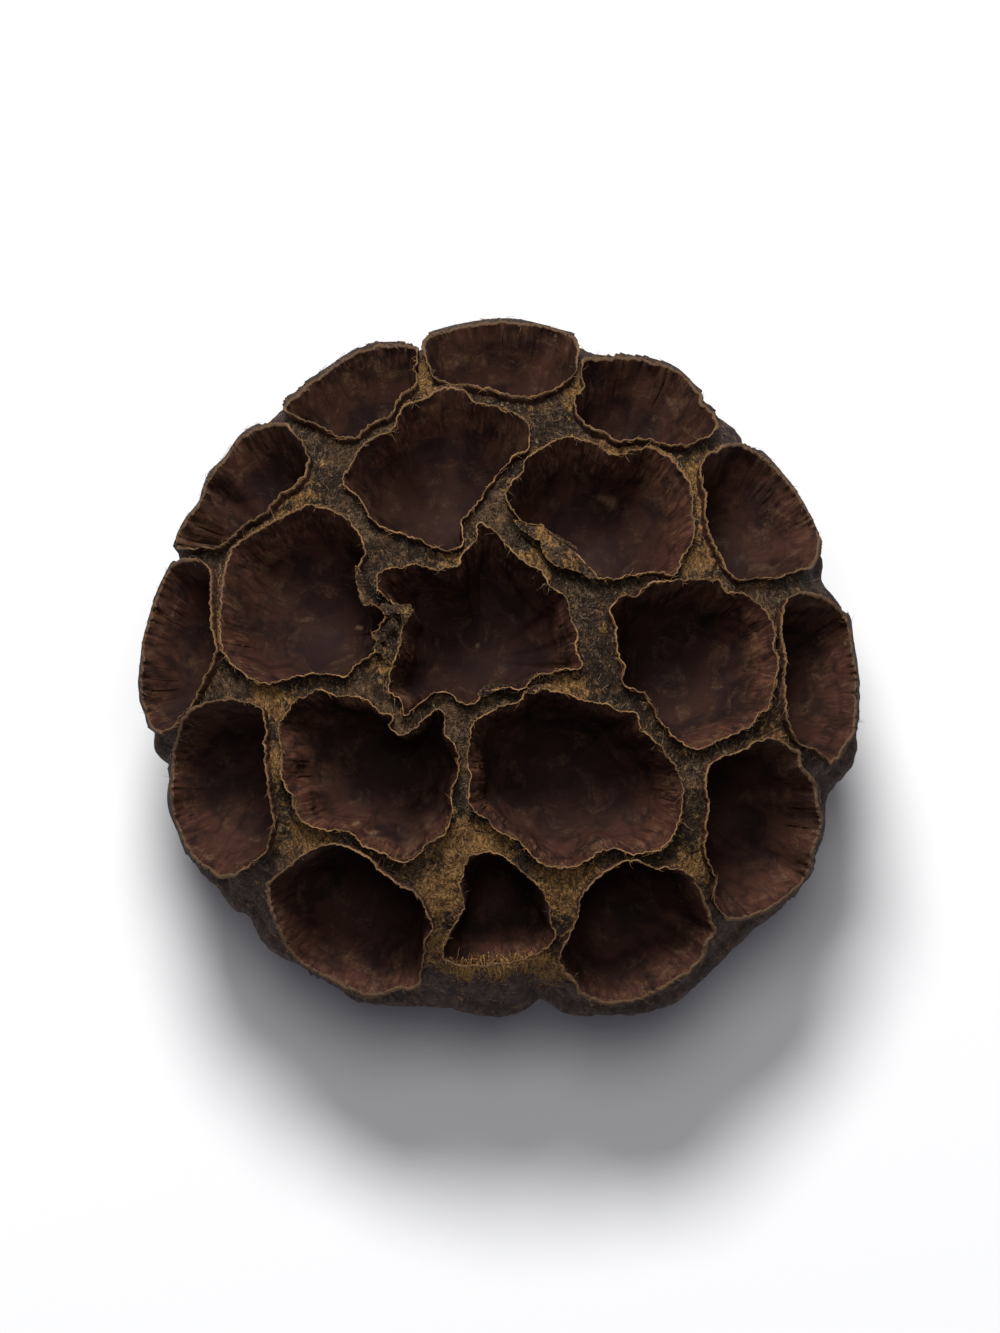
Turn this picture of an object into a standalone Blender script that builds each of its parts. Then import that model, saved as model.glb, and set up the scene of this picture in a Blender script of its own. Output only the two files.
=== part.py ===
"""A dried lotus pod: the domed seed head, its nineteen emptied seed sockets and the cut end of its stalk.

The pod grew as one piece, so it is one solid. It stands on its cut stalk end, with its face up.
The face is drawn as the eye meets it, a little off the pod's own axis, and laid on the dome
along that line of sight. Drawn sizes are millimetres, measured from the middle of the pod,
to the right and up. The solid is in metres, with +Z up and the middle of the cut end at the origin.
"""

import math

import bmesh
import bpy
from mathutils import Vector

MM = 0.001

# The pod's main sizes, in millimetres
RIM_HEIGHT = 30.0
FACE_RISE = 30.0
MEAN_RIM_RADIUS = 44.8
STALK_RADIUS = 8.5

# The drawing is seen from the front, this far off the pod's axis
SIGHT_TILT = math.radians(13.0)

# The drawn face is that of the lips: the flesh between them lies this much lower.
# A lip's wall grows from this deep in the flesh, and a socket's cutter starts this far outside.
LIP_HEIGHT = 1.0
LIP_WALL = 0.7
LIP_ROOT = 4.0
CUTTER_REACH = 2.5

# The socket axes lean from square to the face towards a point on the pod's axis, far below it.
# The sockets narrow and turn round towards their bowl-shaped floors.
SOCKET_AIM_HEIGHT = -40.0
SOCKET_AIM_SHARE = 0.8
SOCKET_TAPER = 0.3
SOCKET_BOWL = 2.6
SOCKET_ROUNDING = 0.75

# Where the rings of the dome and of a socket's wall lie, in degrees and shares of the depth
DOME_SLOPES = (72, 57, 44, 33, 22, 11, 0)
SOCKET_SHARES = (0.0, 0.28, 0.55, 0.78, 0.93)

# The underside, as shares of the rim radius and heights over the cut end
UNDERSIDE = (
    (0.995, 26.5),
    (0.95, 22.8),
    (0.85, 18.6),
    (0.70, 14.0),
    (0.53, 9.6),
    (0.37, 5.8),
    (0.26, 3.0),
)
STALK_RINGS = ((STALK_RADIUS + 0.4, 1.2), (STALK_RADIUS, 0.0))
RIBS = 20
RIB_DEPTH = 0.9

# The cut stalk shows a ring of air canals round a solid middle
CANALS = 7
CANAL_RADIUS = 1.1
CANAL_RING_RADIUS = 4.6
CANAL_DEPTH = 3.0
CANAL_SIDES = 6

# The rim between and round the outer sockets, as drawn
RIM = (
    (45.1, 0.0), (44.3, 5.5), (43.4, 9.0), (41.4, 11.6), (41.5, 14.0), (40.0, 17.2), (38.4, 20.8),
    (35.2, 25.0), (31.9, 28.6), (30.2, 31.2), (27.4, 33.4), (25.0, 35.2), (22.4, 37.6), (18.6, 39.0),
    (15.0, 40.2), (11.0, 41.4), (7.5, 42.4), (3.6, 43.4), (-0.5, 43.8), (-5.0, 43.1), (-9.0, 42.0),
    (-12.2, 40.9), (-15.0, 41.0), (-18.6, 39.9), (-22.0, 37.6), (-25.0, 35.8), (-29.0, 33.1),
    (-31.2, 30.2), (-33.2, 28.8), (-35.2, 26.0), (-37.1, 24.0), (-38.3, 20.6), (-40.2, 18.0),
    (-41.1, 15.8), (-41.0, 14.2), (-42.2, 12.0), (-43.6, 8.8), (-44.8, 4.5), (-45.5, 0.0),
    (-45.4, -3.6), (-44.4, -7.0), (-44.2, -10.0), (-42.2, -11.4), (-41.5, -13.8), (-41.8, -17.0),
    (-40.3, -21.0), (-38.7, -25.0), (-36.0, -27.4), (-34.2, -30.0), (-32.2, -30.8), (-30.6, -34.0),
    (-28.2, -36.0), (-25.0, -37.6), (-21.2, -39.8), (-17.8, -42.0), (-13.5, -42.4), (-8.0, -42.6),
    (-3.8, -43.4), (0.6, -43.8), (3.2, -43.0), (5.0, -41.4), (7.2, -42.6), (10.4, -43.6),
    (15.4, -43.5), (20.0, -43.0), (23.6, -41.3), (26.2, -38.7), (28.8, -36.2), (32.4, -32.8),
    (35.4, -30.4), (37.8, -27.4), (39.9, -24.2), (41.4, -20.2), (42.0, -15.6), (44.2, -12.9),
    (45.6, -9.8), (45.4, -5.0),
)

# Each socket's depth and the outline of its mouth, as drawn, anticlockwise.
# The names give the ring and the hour of a clock face.
SOCKETS = {
    "outer_12": (15.0, (
        (9.6, 40.0), (9.0, 41.4), (6.6, 42.7), (3.0, 43.2), (-0.5, 43.4), (-4.5, 42.8), (-8.0, 41.9),
        (-9.3, 40.2), (-8.8, 37.8), (-7.6, 36.2), (-5.0, 35.5), (-2.0, 35.0), (1.5, 34.1), (4.5, 34.0),
        (7.0, 35.3), (9.1, 36.8),
    )),
    "outer_1": (15.0, (
        (27.0, 30.2), (26.6, 31.8), (25.3, 33.0), (24.8, 34.7), (22.6, 37.0), (19.5, 38.2), (16.5, 38.8),
        (13.0, 38.6), (10.7, 38.5), (10.3, 36.8), (10.6, 35.2), (9.4, 33.9), (9.7, 31.8), (11.2, 30.2),
        (13.4, 29.3), (14.9, 28.4), (17.5, 28.9), (20.5, 28.2), (23.0, 27.9), (25.5, 28.9),
    )),
    "outer_2": (15.0, (
        (39.9, 15.2), (39.5, 17.6), (38.3, 20.0), (37.2, 21.9), (35.3, 24.2), (33.7, 25.8), (31.5, 27.2),
        (29.5, 27.9), (27.4, 27.2), (25.6, 26.2), (25.3, 24.0), (25.8, 21.5), (25.8, 18.0), (26.6, 15.8),
        (28.2, 12.7), (29.6, 11.2), (32.0, 11.3), (34.2, 11.4), (37.0, 12.2), (39.0, 13.2),
    )),
    "outer_3": (15.0, (
        (44.5, -1.0), (44.2, 2.5), (43.6, 5.6), (41.9, 7.7), (39.6, 8.9), (37.4, 9.2), (35.9, 8.2),
        (35.3, 6.0), (35.3, 3.0), (35.8, 0.5), (35.6, -3.0), (36.0, -6.2), (37.2, -9.0), (39.6, -10.2),
        (41.4, -11.5), (42.8, -10.2), (43.9, -8.0), (44.5, -5.0),
    )),
    "outer_4": (16.0, (
        (39.9, -19.2), (39.4, -16.5), (39.2, -14.7), (37.6, -12.8), (36.8, -10.6), (34.4, -9.0),
        (32.0, -9.3), (30.0, -10.4), (27.6, -11.2), (25.9, -12.6), (25.6, -15.0), (26.0, -17.3),
        (25.6, -20.0), (25.8, -23.5), (27.0, -26.6), (26.9, -29.0), (28.3, -30.9), (30.5, -31.1),
        (33.2, -30.2), (35.8, -28.5), (38.0, -26.4), (38.9, -23.5),
    )),
    "outer_5": (16.0, (
        (26.5, -33.0), (25.9, -31.0), (25.1, -28.6), (24.2, -26.4), (22.4, -25.2), (19.5, -25.0),
        (17.0, -24.1), (14.5, -24.6), (12.0, -26.2), (10.3, -28.2), (9.6, -31.0), (8.5, -33.8),
        (7.6, -36.0), (8.0, -37.5), (9.3, -38.8), (10.2, -40.4), (12.2, -41.4), (15.0, -41.7),
        (18.0, -40.9), (20.4, -39.6), (23.0, -38.2), (24.9, -36.4), (25.5, -34.6),
    )),
    "outer_6": (14.0, (
        (6.8, -33.2), (6.0, -31.2), (5.6, -28.8), (4.6, -27.2), (2.6, -25.4), (0.6, -23.7), (-1.9, -22.9),
        (-4.0, -24.0), (-4.7, -26.4), (-4.5, -29.4), (-5.8, -32.6), (-7.0, -35.2), (-6.4, -36.7),
        (-3.0, -37.2), (0.5, -36.8), (3.5, -36.2), (5.6, -35.0),
    )),
    "outer_7": (16.0, (
        (-8.5, -32.4), (-9.1, -30.4), (-10.6, -28.0), (-13.0, -26.7), (-14.8, -25.4), (-16.2, -23.8),
        (-18.2, -22.6), (-20.6, -21.9), (-23.4, -22.6), (-25.6, -24.4), (-27.8, -26.0), (-28.7, -27.4),
        (-28.5, -29.8), (-27.6, -32.2), (-26.4, -34.8), (-24.4, -37.0), (-21.6, -38.6), (-18.8, -39.9),
        (-15.8, -40.8), (-13.0, -39.9), (-10.6, -39.6), (-9.7, -37.5), (-9.5, -34.4),
    )),
    "outer_8": (15.0, (
        (-28.3, -18.8), (-28.9, -15.0), (-29.3, -12.0), (-29.4, -8.0), (-29.9, -5.2), (-32.0, -4.2),
        (-35.4, -4.1), (-37.8, -5.0), (-39.4, -6.4), (-40.2, -8.6), (-40.8, -11.8), (-41.0, -15.0),
        (-40.8, -18.0), (-39.8, -20.8), (-38.7, -23.0), (-36.9, -24.8), (-34.2, -25.8), (-32.0, -25.0),
        (-30.0, -23.4), (-28.8, -21.4),
    )),
    "outer_9": (15.0, (
        (-35.6, 2.4), (-36.1, 4.6), (-36.3, 8.0), (-36.3, 11.4), (-37.0, 13.0), (-38.8, 13.4),
        (-41.2, 12.5), (-42.4, 10.4), (-43.6, 7.0), (-44.5, 3.4), (-44.9, 0.0), (-44.9, -3.6),
        (-44.1, -6.3), (-42.6, -8.0), (-41.2, -7.4), (-39.2, -5.2), (-37.6, -2.6), (-36.2, 0.2),
    )),
    "outer_10": (15.0, (
        (-24.0, 25.6), (-24.4, 27.4), (-25.6, 29.2), (-27.4, 30.5), (-29.6, 30.1), (-31.8, 29.2),
        (-33.7, 27.3), (-35.3, 25.1), (-36.7, 23.3), (-37.7, 20.6), (-39.3, 18.5), (-40.5, 16.2),
        (-39.8, 15.0), (-37.2, 15.3), (-35.0, 15.1), (-33.6, 16.5), (-31.8, 18.2), (-29.6, 19.4),
        (-27.6, 21.5), (-25.3, 22.9),
    )),
    "outer_11": (15.0, (
        (-10.6, 35.5), (-10.9, 37.6), (-10.6, 40.0), (-13.5, 40.5), (-17.0, 39.9), (-19.7, 38.6),
        (-22.2, 36.7), (-24.2, 35.4), (-25.4, 34.0), (-27.0, 33.0), (-26.4, 31.9), (-23.4, 30.8),
        (-21.4, 29.7), (-19.6, 28.9), (-17.6, 29.3), (-15.4, 31.0), (-13.7, 31.7), (-12.7, 33.8),
    )),
    "inner_11": (17.0, (
        (3.7, 29.8), (2.5, 31.4), (0.0, 32.4), (-2.8, 33.1), (-4.8, 34.5), (-7.0, 34.8), (-9.8, 33.5),
        (-12.0, 32.6), (-13.1, 30.0), (-15.0, 29.1), (-17.4, 27.6), (-18.4, 25.6), (-19.6, 23.7),
        (-19.0, 22.3), (-17.2, 21.0), (-16.0, 18.8), (-14.6, 17.6), (-11.4, 16.6), (-9.0, 15.6),
        (-6.8, 14.7), (-5.0, 15.2), (-4.7, 16.8), (-4.9, 18.4), (-3.4, 20.2), (-1.6, 22.5), (0.2, 24.9),
        (1.6, 26.4), (3.4, 27.4),
    )),
    "inner_1": (17.0, (
        (24.0, 19.6), (23.8, 22.6), (22.6, 24.5), (21.0, 26.3), (19.0, 27.4), (16.8, 27.1), (14.4, 26.5),
        (12.6, 27.4), (10.4, 28.3), (8.0, 28.7), (5.4, 27.3), (3.4, 26.0), (3.0, 24.5), (1.4, 23.0),
        (0.8, 21.2), (2.1, 19.2), (3.4, 18.0), (5.2, 17.6), (7.6, 15.7), (9.6, 14.2), (11.2, 12.3),
        (12.6, 11.1), (15.2, 11.3), (17.4, 12.0), (20.0, 12.0), (21.6, 11.7), (22.6, 14.0), (23.8, 15.6),
    )),
    "inner_3": (17.0, (
        (34.6, 0.6), (34.1, 2.6), (34.1, 5.0), (32.6, 7.4), (30.4, 9.2), (28.4, 9.5), (27.2, 10.9),
        (24.6, 11.0), (21.6, 10.9), (18.8, 10.3), (17.0, 9.0), (15.4, 8.8), (13.8, 7.2), (14.4, 4.6),
        (14.6, 2.2), (15.3, 0.0), (15.4, -1.8), (17.6, -3.0), (19.2, -5.1), (20.8, -7.6), (22.6, -9.2),
        (24.8, -10.0), (27.0, -9.0), (29.6, -7.8), (31.4, -7.0), (32.2, -5.6), (33.4, -5.0), (34.2, -2.0),
    )),
    "inner_5": (17.5, (
        (22.7, -16.0), (22.3, -13.0), (20.6, -11.0), (19.4, -9.0), (17.5, -7.7), (16.9, -5.6),
        (15.0, -5.6), (12.6, -4.5), (10.0, -4.0), (7.0, -3.0), (4.0, -2.6), (2.4, -4.0), (-0.4, -5.2),
        (-2.4, -6.1), (-3.5, -7.4), (-3.9, -10.4), (-3.6, -13.6), (-3.7, -16.8), (-2.0, -18.4),
        (-0.6, -19.8), (1.8, -21.2), (3.6, -22.6), (5.0, -24.2), (7.6, -24.8), (9.6, -24.5),
        (11.6, -23.0), (13.8, -22.3), (17.0, -23.0), (19.8, -22.6), (21.4, -21.0), (22.4, -18.8),
    )),
    "inner_7": (17.0, (
        (-5.2, -12.4), (-5.9, -9.6), (-6.9, -7.8), (-7.0, -5.8), (-8.0, -5.1), (-8.9, -5.9),
        (-10.2, -7.2), (-12.4, -8.4), (-13.8, -7.3), (-13.6, -6.2), (-15.2, -5.3), (-17.0, -4.1),
        (-19.8, -3.5), (-22.3, -2.7), (-24.4, -3.7), (-25.8, -4.5), (-27.2, -6.8), (-27.3, -10.4),
        (-27.0, -14.2), (-25.8, -15.8), (-25.0, -18.2), (-24.2, -19.4), (-21.6, -20.0), (-18.8, -20.5),
        (-16.8, -22.0), (-14.6, -22.9), (-12.4, -24.0), (-10.4, -23.4), (-9.2, -21.9), (-7.2, -20.6),
        (-6.2, -18.4), (-6.0, -15.4),
    )),
    "inner_9": (17.0, (
        (-16.9, 14.6), (-17.8, 17.0), (-19.6, 18.8), (-21.6, 19.8), (-23.8, 20.2), (-26.4, 19.2),
        (-29.0, 17.8), (-31.6, 16.2), (-33.5, 14.6), (-34.3, 12.0), (-34.7, 9.0), (-34.8, 5.4),
        (-34.6, 2.6), (-33.4, 0.4), (-31.6, -0.8), (-29.2, -1.9), (-26.8, -1.4), (-24.6, -0.7),
        (-21.6, -0.7), (-19.2, -0.9), (-17.8, 0.6), (-15.9, 1.8), (-15.5, 3.0), (-15.9, 4.2),
        (-14.6, 5.8), (-14.4, 7.4), (-16.2, 8.0), (-17.3, 8.9), (-17.8, 12.0),
    )),
    "centre": (18.0, (
        (9.9, 0.3), (9.4, 2.0), (9.5, 4.0), (8.8, 5.4), (8.6, 7.6), (8.1, 9.0), (6.4, 10.0), (5.2, 11.8),
        (3.4, 12.9), (1.2, 14.8), (-0.6, 16.8), (-2.6, 17.8), (-2.9, 15.8), (-4.4, 14.3), (-5.1, 12.8),
        (-8.0, 12.3), (-11.0, 12.8), (-14.2, 12.2), (-15.4, 11.0), (-14.8, 9.6), (-13.2, 8.2),
        (-11.2, 7.4), (-11.9, 5.4), (-12.3, 3.0), (-13.3, 0.4), (-13.9, -2.4), (-12.4, -4.0),
        (-11.8, -5.9), (-10.2, -4.6), (-8.4, -3.1), (-6.6, -2.9), (-5.0, -4.2), (-3.6, -4.4),
        (-2.0, -3.0), (0.4, -2.3), (2.6, -2.6), (4.6, -0.9), (7.6, -0.4),
    )),
}


def rim_stations():
    """(azimuth, radius) of each rim point, laid from the drawing on the level rim and sorted."""
    stations = []
    for across, up in RIM:
        away = up / math.cos(SIGHT_TILT)
        stations.append((math.atan2(away, across) % math.tau, math.hypot(across, away)))
    return sorted(stations)


STATIONS = rim_stations()


def rim_radius(azimuth):
    """The rim's radius at an azimuth, in straight steps between its stations."""
    azimuth %= math.tau
    last_azimuth, last_radius = STATIONS[-1][0] - math.tau, STATIONS[-1][1]
    for next_azimuth, next_radius in [*STATIONS, (STATIONS[0][0] + math.tau, STATIONS[0][1])]:
        if azimuth <= next_azimuth:
            share = (azimuth - last_azimuth) / (next_azimuth - last_azimuth)
            return last_radius + share * (next_radius - last_radius)
        last_azimuth, last_radius = next_azimuth, next_radius
    return last_radius


def face_radius(azimuth, height):
    """The dome's horizontal half-width at an azimuth. The rim's lobes fade out towards the top."""
    fade = max(0.0, 1.0 - (height / FACE_RISE) ** 2)
    return MEAN_RIM_RADIUS + fade * (rim_radius(azimuth) - MEAN_RIM_RADIUS)


def on_face(across, up):
    """The point of the domed face, measured from the rim's middle, behind a drawn point."""
    sin, cos = math.sin(SIGHT_TILT), math.cos(SIGHT_TILT)
    radius = MEAN_RIM_RADIUS
    for _ in range(5):
        flat, tall = 1.0 / radius**2, 1.0 / FACE_RISE**2
        square = sin * sin * flat + cos * cos * tall
        cross = up * sin * cos * (tall - flat)
        rest = across**2 * flat + up**2 * (cos * cos * flat + sin * sin * tall) - 1.0
        nearer = (math.sqrt(max(0.0, cross**2 - square * rest)) - cross) / square
        point = Vector((across, up * cos - nearer * sin, up * sin + nearer * cos))
        radius = face_radius(math.atan2(point.y, point.x), point.z)
    return point


def face_normal(point):
    radius = face_radius(math.atan2(point.y, point.x), point.z)
    return Vector((point.x / radius**2, point.y / radius**2, point.z / FACE_RISE**2)).normalized()


def mouth_frame(outline):
    """The mouth's points on the face, with each one's normal and its way out of the socket."""
    points = [on_face(*drawn) for drawn in outline]
    normals = [face_normal(point) for point in points]
    ways_out = []
    for i, normal in enumerate(normals):
        along = points[(i + 1) % len(points)] - points[i - 1]
        ways_out.append(along.cross(normal).normalized())
    return points, normals, ways_out


def socket_axis(points, depth):
    """The middle of the mouth, the way down into the socket, and the middle of its floor."""
    middle = sum(points, Vector()) / len(points)
    square = -face_normal(middle)
    aim = (Vector((0.0, 0.0, SOCKET_AIM_HEIGHT - RIM_HEIGHT)) - middle).normalized()
    down = square.lerp(aim, SOCKET_AIM_SHARE).normalized()
    return middle, down, middle + down * depth


def socket_ring(points, middle, down, depth, share):
    """The socket's wall at a share of its depth: the mouth's shape, ever rounder and narrower."""
    size = (1.0 - SOCKET_TAPER * share) * math.sqrt(max(0.0, 1.0 - share**SOCKET_BOWL))
    offsets = [point - middle for point in points]
    flat = [offset - down * offset.dot(down) for offset in offsets]
    mean_radius = sum(offset.length for offset in flat) / len(flat)
    ring = []
    for offset, level in zip(offsets, flat):
        own = offset.lerp(level, share)
        round_one = level.normalized() * mean_radius
        rounded = own.lerp(round_one, SOCKET_ROUNDING * share**2)
        ring.append(middle + down * depth * share + rounded * size)
    return ring


def loft(name, rings, closing_points):
    """A closed solid: a skin through rings of equally many points, closed to a point at each end."""
    mesh = bmesh.new()
    ring = [mesh.verts.new(point * MM) for point in rings[0]]
    edges = [mesh.edges.new((ring[i - 1], ring[i])) for i in range(len(ring))]
    close_end(mesh, edges, closing_points[0])
    for points in rings[1:]:
        ring, edges = extrude_ring(mesh, ring, edges)
        for vertex, point in zip(ring, points):
            vertex.co = point * MM
    close_end(mesh, edges, closing_points[1])
    bmesh.ops.recalc_face_normals(mesh, faces=mesh.faces)
    data = bpy.data.meshes.new(name)
    mesh.to_mesh(data)
    mesh.free()
    solid = bpy.data.objects.new(name, data)
    bpy.context.scene.collection.objects.link(solid)
    return solid


def extrude_ring(mesh, ring, edges):
    """Extrudes a closed row of edges and gives the new row in the old one's order."""
    order = {vertex: i for i, vertex in enumerate(ring)}
    made = bmesh.ops.extrude_edge_only(mesh, edges=edges)["geom"]
    new_ring = [None] * len(ring)
    for vertex in (item for item in made if isinstance(item, bmesh.types.BMVert)):
        for edge in vertex.link_edges:
            other = edge.other_vert(vertex)
            if other in order:
                new_ring[order[other]] = vertex
    new_edges = [mesh.edges.get((new_ring[i - 1], new_ring[i])) for i in range(len(new_ring))]
    return new_ring, new_edges


def close_end(mesh, edges, point):
    """Draws a row of edges together in one point."""
    made = bmesh.ops.extrude_edge_only(mesh, edges=edges)["geom"]
    verts = [item for item in made if isinstance(item, bmesh.types.BMVert)]
    bmesh.ops.pointmerge(mesh, verts=verts, merge_co=point * MM)


def raised(points):
    """Points measured from the rim's middle, moved to stand over the cut end."""
    return [point + Vector((0.0, 0.0, RIM_HEIGHT)) for point in points]


def body():
    """The dome, its lobed rim and the ribbed underside down to the cut stalk."""
    azimuths = [azimuth for azimuth, _ in STATIONS]
    rings = []
    for slope in DOME_SLOPES:
        height = (FACE_RISE - LIP_HEIGHT) * math.sin(math.radians(slope))
        ring = []
        for azimuth in azimuths:
            reach = face_radius(azimuth, height) - LIP_HEIGHT
            radius = reach * math.cos(math.radians(slope))
            ring.append(Vector((radius * math.cos(azimuth), radius * math.sin(azimuth), height)))
        rings.append(raised(ring))
    for share, height in UNDERSIDE:
        ring = []
        for azimuth in azimuths:
            lobes = share**2
            radius = MEAN_RIM_RADIUS + lobes * (rim_radius(azimuth) - MEAN_RIM_RADIUS)
            radius = share * (radius - LIP_HEIGHT)
            radius += RIB_DEPTH * math.cos(RIBS * azimuth) * min(1.0, 4.0 * (1.0 - share)) * share
            ring.append(Vector((radius * math.cos(azimuth), radius * math.sin(azimuth), height)))
        rings.append(ring)
    for radius, height in STALK_RINGS:
        rings.append(
            [Vector((radius * math.cos(a), radius * math.sin(a), height)) for a in azimuths]
        )
    top = Vector((0.0, 0.0, RIM_HEIGHT + FACE_RISE - LIP_HEIGHT))
    return loft("pod", rings, (top, Vector()))


def lip_collar(name, depth, outline):
    """The solid that one socket's lip is cut from: it is rooted in the body and stands proud of it."""
    points, normals, ways_out = mouth_frame(outline)
    middle, down, _ = socket_axis(points, depth)
    top = [p + w * LIP_WALL for p, w in zip(points, ways_out)]
    foot = [p - n * LIP_ROOT + w * LIP_WALL * 0.5 for p, n, w in zip(points, normals, ways_out)]
    rings = [raised(top), raised(foot)]
    above, below = raised([middle, middle + down * LIP_ROOT * 2.0])
    return loft(f"collar_{name}", rings, (above, below))


def socket_cutter(name, depth, outline):
    """The emptied space of one socket, carried on past its mouth."""
    points, normals, _ = mouth_frame(outline)
    middle, down, floor = socket_axis(points, depth)
    rings = [raised([p + n * CUTTER_REACH for p, n in zip(points, normals)])]
    for share in SOCKET_SHARES:
        rings.append(raised(socket_ring(points, middle, down, depth, share)))
    above, below = raised([middle - down * CUTTER_REACH * 2.0, floor])
    return loft(f"cutter_{name}", rings, (above, below))


def air_canal(number):
    """One blind air canal in the cut end of the stalk."""
    azimuth = math.tau * number / CANALS
    middle = Vector((math.cos(azimuth), math.sin(azimuth), 0.0)) * CANAL_RING_RADIUS
    turns = [math.tau * i / CANAL_SIDES for i in range(CANAL_SIDES)]
    ring = [middle + CANAL_RADIUS * Vector((math.cos(t), math.sin(t), 0.0)) for t in turns]
    down, up = Vector((0.0, 0.0, -1.0)), Vector((0.0, 0.0, CANAL_DEPTH))
    rings = [[point + down for point in ring], [point + up for point in ring]]
    return loft(f"canal_{number}", rings, (middle + down * 2.0, middle + up * 1.2))


def apply_boolean(solid, tools, operation):
    """Joins the tools to the solid, or cuts them from it, in one step, and removes them."""
    collection = bpy.data.collections.new(f"{operation.lower()}_tools")
    for tool in tools:
        collection.objects.link(tool)
    modifier = solid.modifiers.new(operation.title(), "BOOLEAN")
    modifier.operation = operation
    modifier.operand_type = "COLLECTION"
    modifier.collection = collection
    modifier.solver = "MANIFOLD"
    graph = bpy.context.evaluated_depsgraph_get()
    data = bpy.data.meshes.new_from_object(solid.evaluated_get(graph))
    solid.modifiers.remove(modifier)
    solid.data = data
    for tool in tools:
        bpy.data.objects.remove(tool)
    bpy.data.collections.remove(collection)


def dried_flesh():
    """The pod's one material: dark, matt and brown."""
    material = bpy.data.materials.new("dried_flesh")
    material.use_nodes = True
    shader = material.node_tree.nodes["Principled BSDF"]
    shader.inputs["Base Color"].default_value = (0.055, 0.032, 0.021, 1.0)
    shader.inputs["Roughness"].default_value = 0.85
    shader.inputs["Metallic"].default_value = 0.0
    return material


def main():
    for old in list(bpy.data.objects):
        bpy.data.objects.remove(old)
    pod = body()
    apply_boolean(pod, [lip_collar(name, *socket) for name, socket in SOCKETS.items()], "UNION")
    cutters = [socket_cutter(name, *socket) for name, socket in SOCKETS.items()]
    cutters += [air_canal(number) for number in range(CANALS)]
    apply_boolean(pod, cutters, "DIFFERENCE")
    pod.data.materials.clear()
    pod.data.materials.append(dried_flesh())
    pod.data.shade_smooth()
    pod.data.set_sharp_from_angle(angle=math.radians(40.0))


main()
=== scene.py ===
"""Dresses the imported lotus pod: thin pleated socket linings, felted flesh, torn lips, and the stage.

Drawn places are millimetres across and up in the face's own view, from the middle of the pod.
Row-frame places are metres, with +Z up and the middle of the cut stalk end at the origin.
"""

import math
from functools import cache

import bmesh
import bpy
import numpy as np
from mathutils import Matrix, Vector, noise
from mathutils.kdtree import KDTree


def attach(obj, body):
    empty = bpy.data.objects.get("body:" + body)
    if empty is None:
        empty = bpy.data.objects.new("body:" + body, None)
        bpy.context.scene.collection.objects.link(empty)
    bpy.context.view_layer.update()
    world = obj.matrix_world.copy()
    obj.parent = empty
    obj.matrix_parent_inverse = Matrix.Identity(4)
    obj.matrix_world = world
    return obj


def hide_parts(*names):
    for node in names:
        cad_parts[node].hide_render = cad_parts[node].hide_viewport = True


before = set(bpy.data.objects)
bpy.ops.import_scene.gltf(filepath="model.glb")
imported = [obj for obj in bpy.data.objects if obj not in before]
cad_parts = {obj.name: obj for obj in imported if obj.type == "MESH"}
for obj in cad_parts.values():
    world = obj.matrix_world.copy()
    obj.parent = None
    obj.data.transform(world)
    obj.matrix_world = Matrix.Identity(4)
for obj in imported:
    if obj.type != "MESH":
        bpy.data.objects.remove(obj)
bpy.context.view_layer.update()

bl_info = {
    "name": "Dried lotus pod",
    "version": (1, 0, 0),
    "blender": (4, 5, 0),
    "location": "3D View > Sidebar > Lotus Pod",
    "description": "Makes the linings, flesh, torn lips and fibres of a dried lotus pod",
    "category": "Add Mesh",
}

MM = 0.001

# The pod's main sizes, in millimetres, as the solid has them
RIM_HEIGHT = 30.0
FACE_RISE = 30.0
MEAN_RIM_RADIUS = 44.8
STALK_RADIUS = 8.5
LIP_HEIGHT = 1.0
FACE_SIZE = np.array([MEAN_RIM_RADIUS, MEAN_RIM_RADIUS, FACE_RISE])
SIGHT_TILT = math.radians(13.0)
SOCKET_AIM_HEIGHT = -40.0
SOCKET_AIM_SHARE = 0.8
SOCKET_TAPER = 0.3
SOCKET_BOWL = 2.6
SOCKET_ROUNDING = 0.75
UNDERSIDE = (
    (1.0, 30.0),
    (0.995, 26.5),
    (0.95, 22.8),
    (0.85, 18.6),
    (0.70, 14.0),
    (0.53, 9.6),
    (0.37, 5.8),
    (0.26, 3.0),
    (0.205, 1.2),
)
RIBS = 20
RIB_DEPTH = 0.9
CANALS = 7
CANAL_RADIUS = 1.1
CANAL_RING_RADIUS = 4.6
CANAL_DEPTH = 3.0

# The last rows of the flesh, round the cut end: radius and height
CUT_END_ROWS = ((STALK_RADIUS + 0.1, 0.25), (STALK_RADIUS - 0.15, 0.0), (STALK_RADIUS - 3.0, 0.0))

# How finely the skins are divided, and the steepest angle that is shaded smooth
LINING_SPACING = 0.21
LINING_ROWS = 38
LINING_BACK_ROWS = 8
HOLE_ROWS = 9
HOLE_COLUMN_STEP = 2
FLESH_COLUMNS = 600
DOME_ROWS = 172
DOME_TOP_SLOPE = 88.5
UNDERSIDE_ROWS = 40
SMOOTH_ANGLE = math.radians(50.0)

# How far a hole, and the back of its lining, swell into the flesh below the mouth
HOLE_SWELL = 0.3
BACK_SWELL = HOLE_SWELL * 1.4
SWELL_DEPTHS = (0.5, 5.0)

# How far the outer wall stands out over the drawn rim, and the least it may
WALL_COVER = 0.45
LEAST_COVER = 0.1

# The stage, in metres: each light's size and place
FLOOR_HALF_WIDTH = 3.0
FLOOR_GREY = 0.82
KEY_LIGHT = (0.45, (-0.10, 0.56, 1.15))
FILL_LIGHT = (0.5, (0.0, -0.05, 1.30))
SKY_COLOUR = (0.82, 0.84, 1.0)

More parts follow.
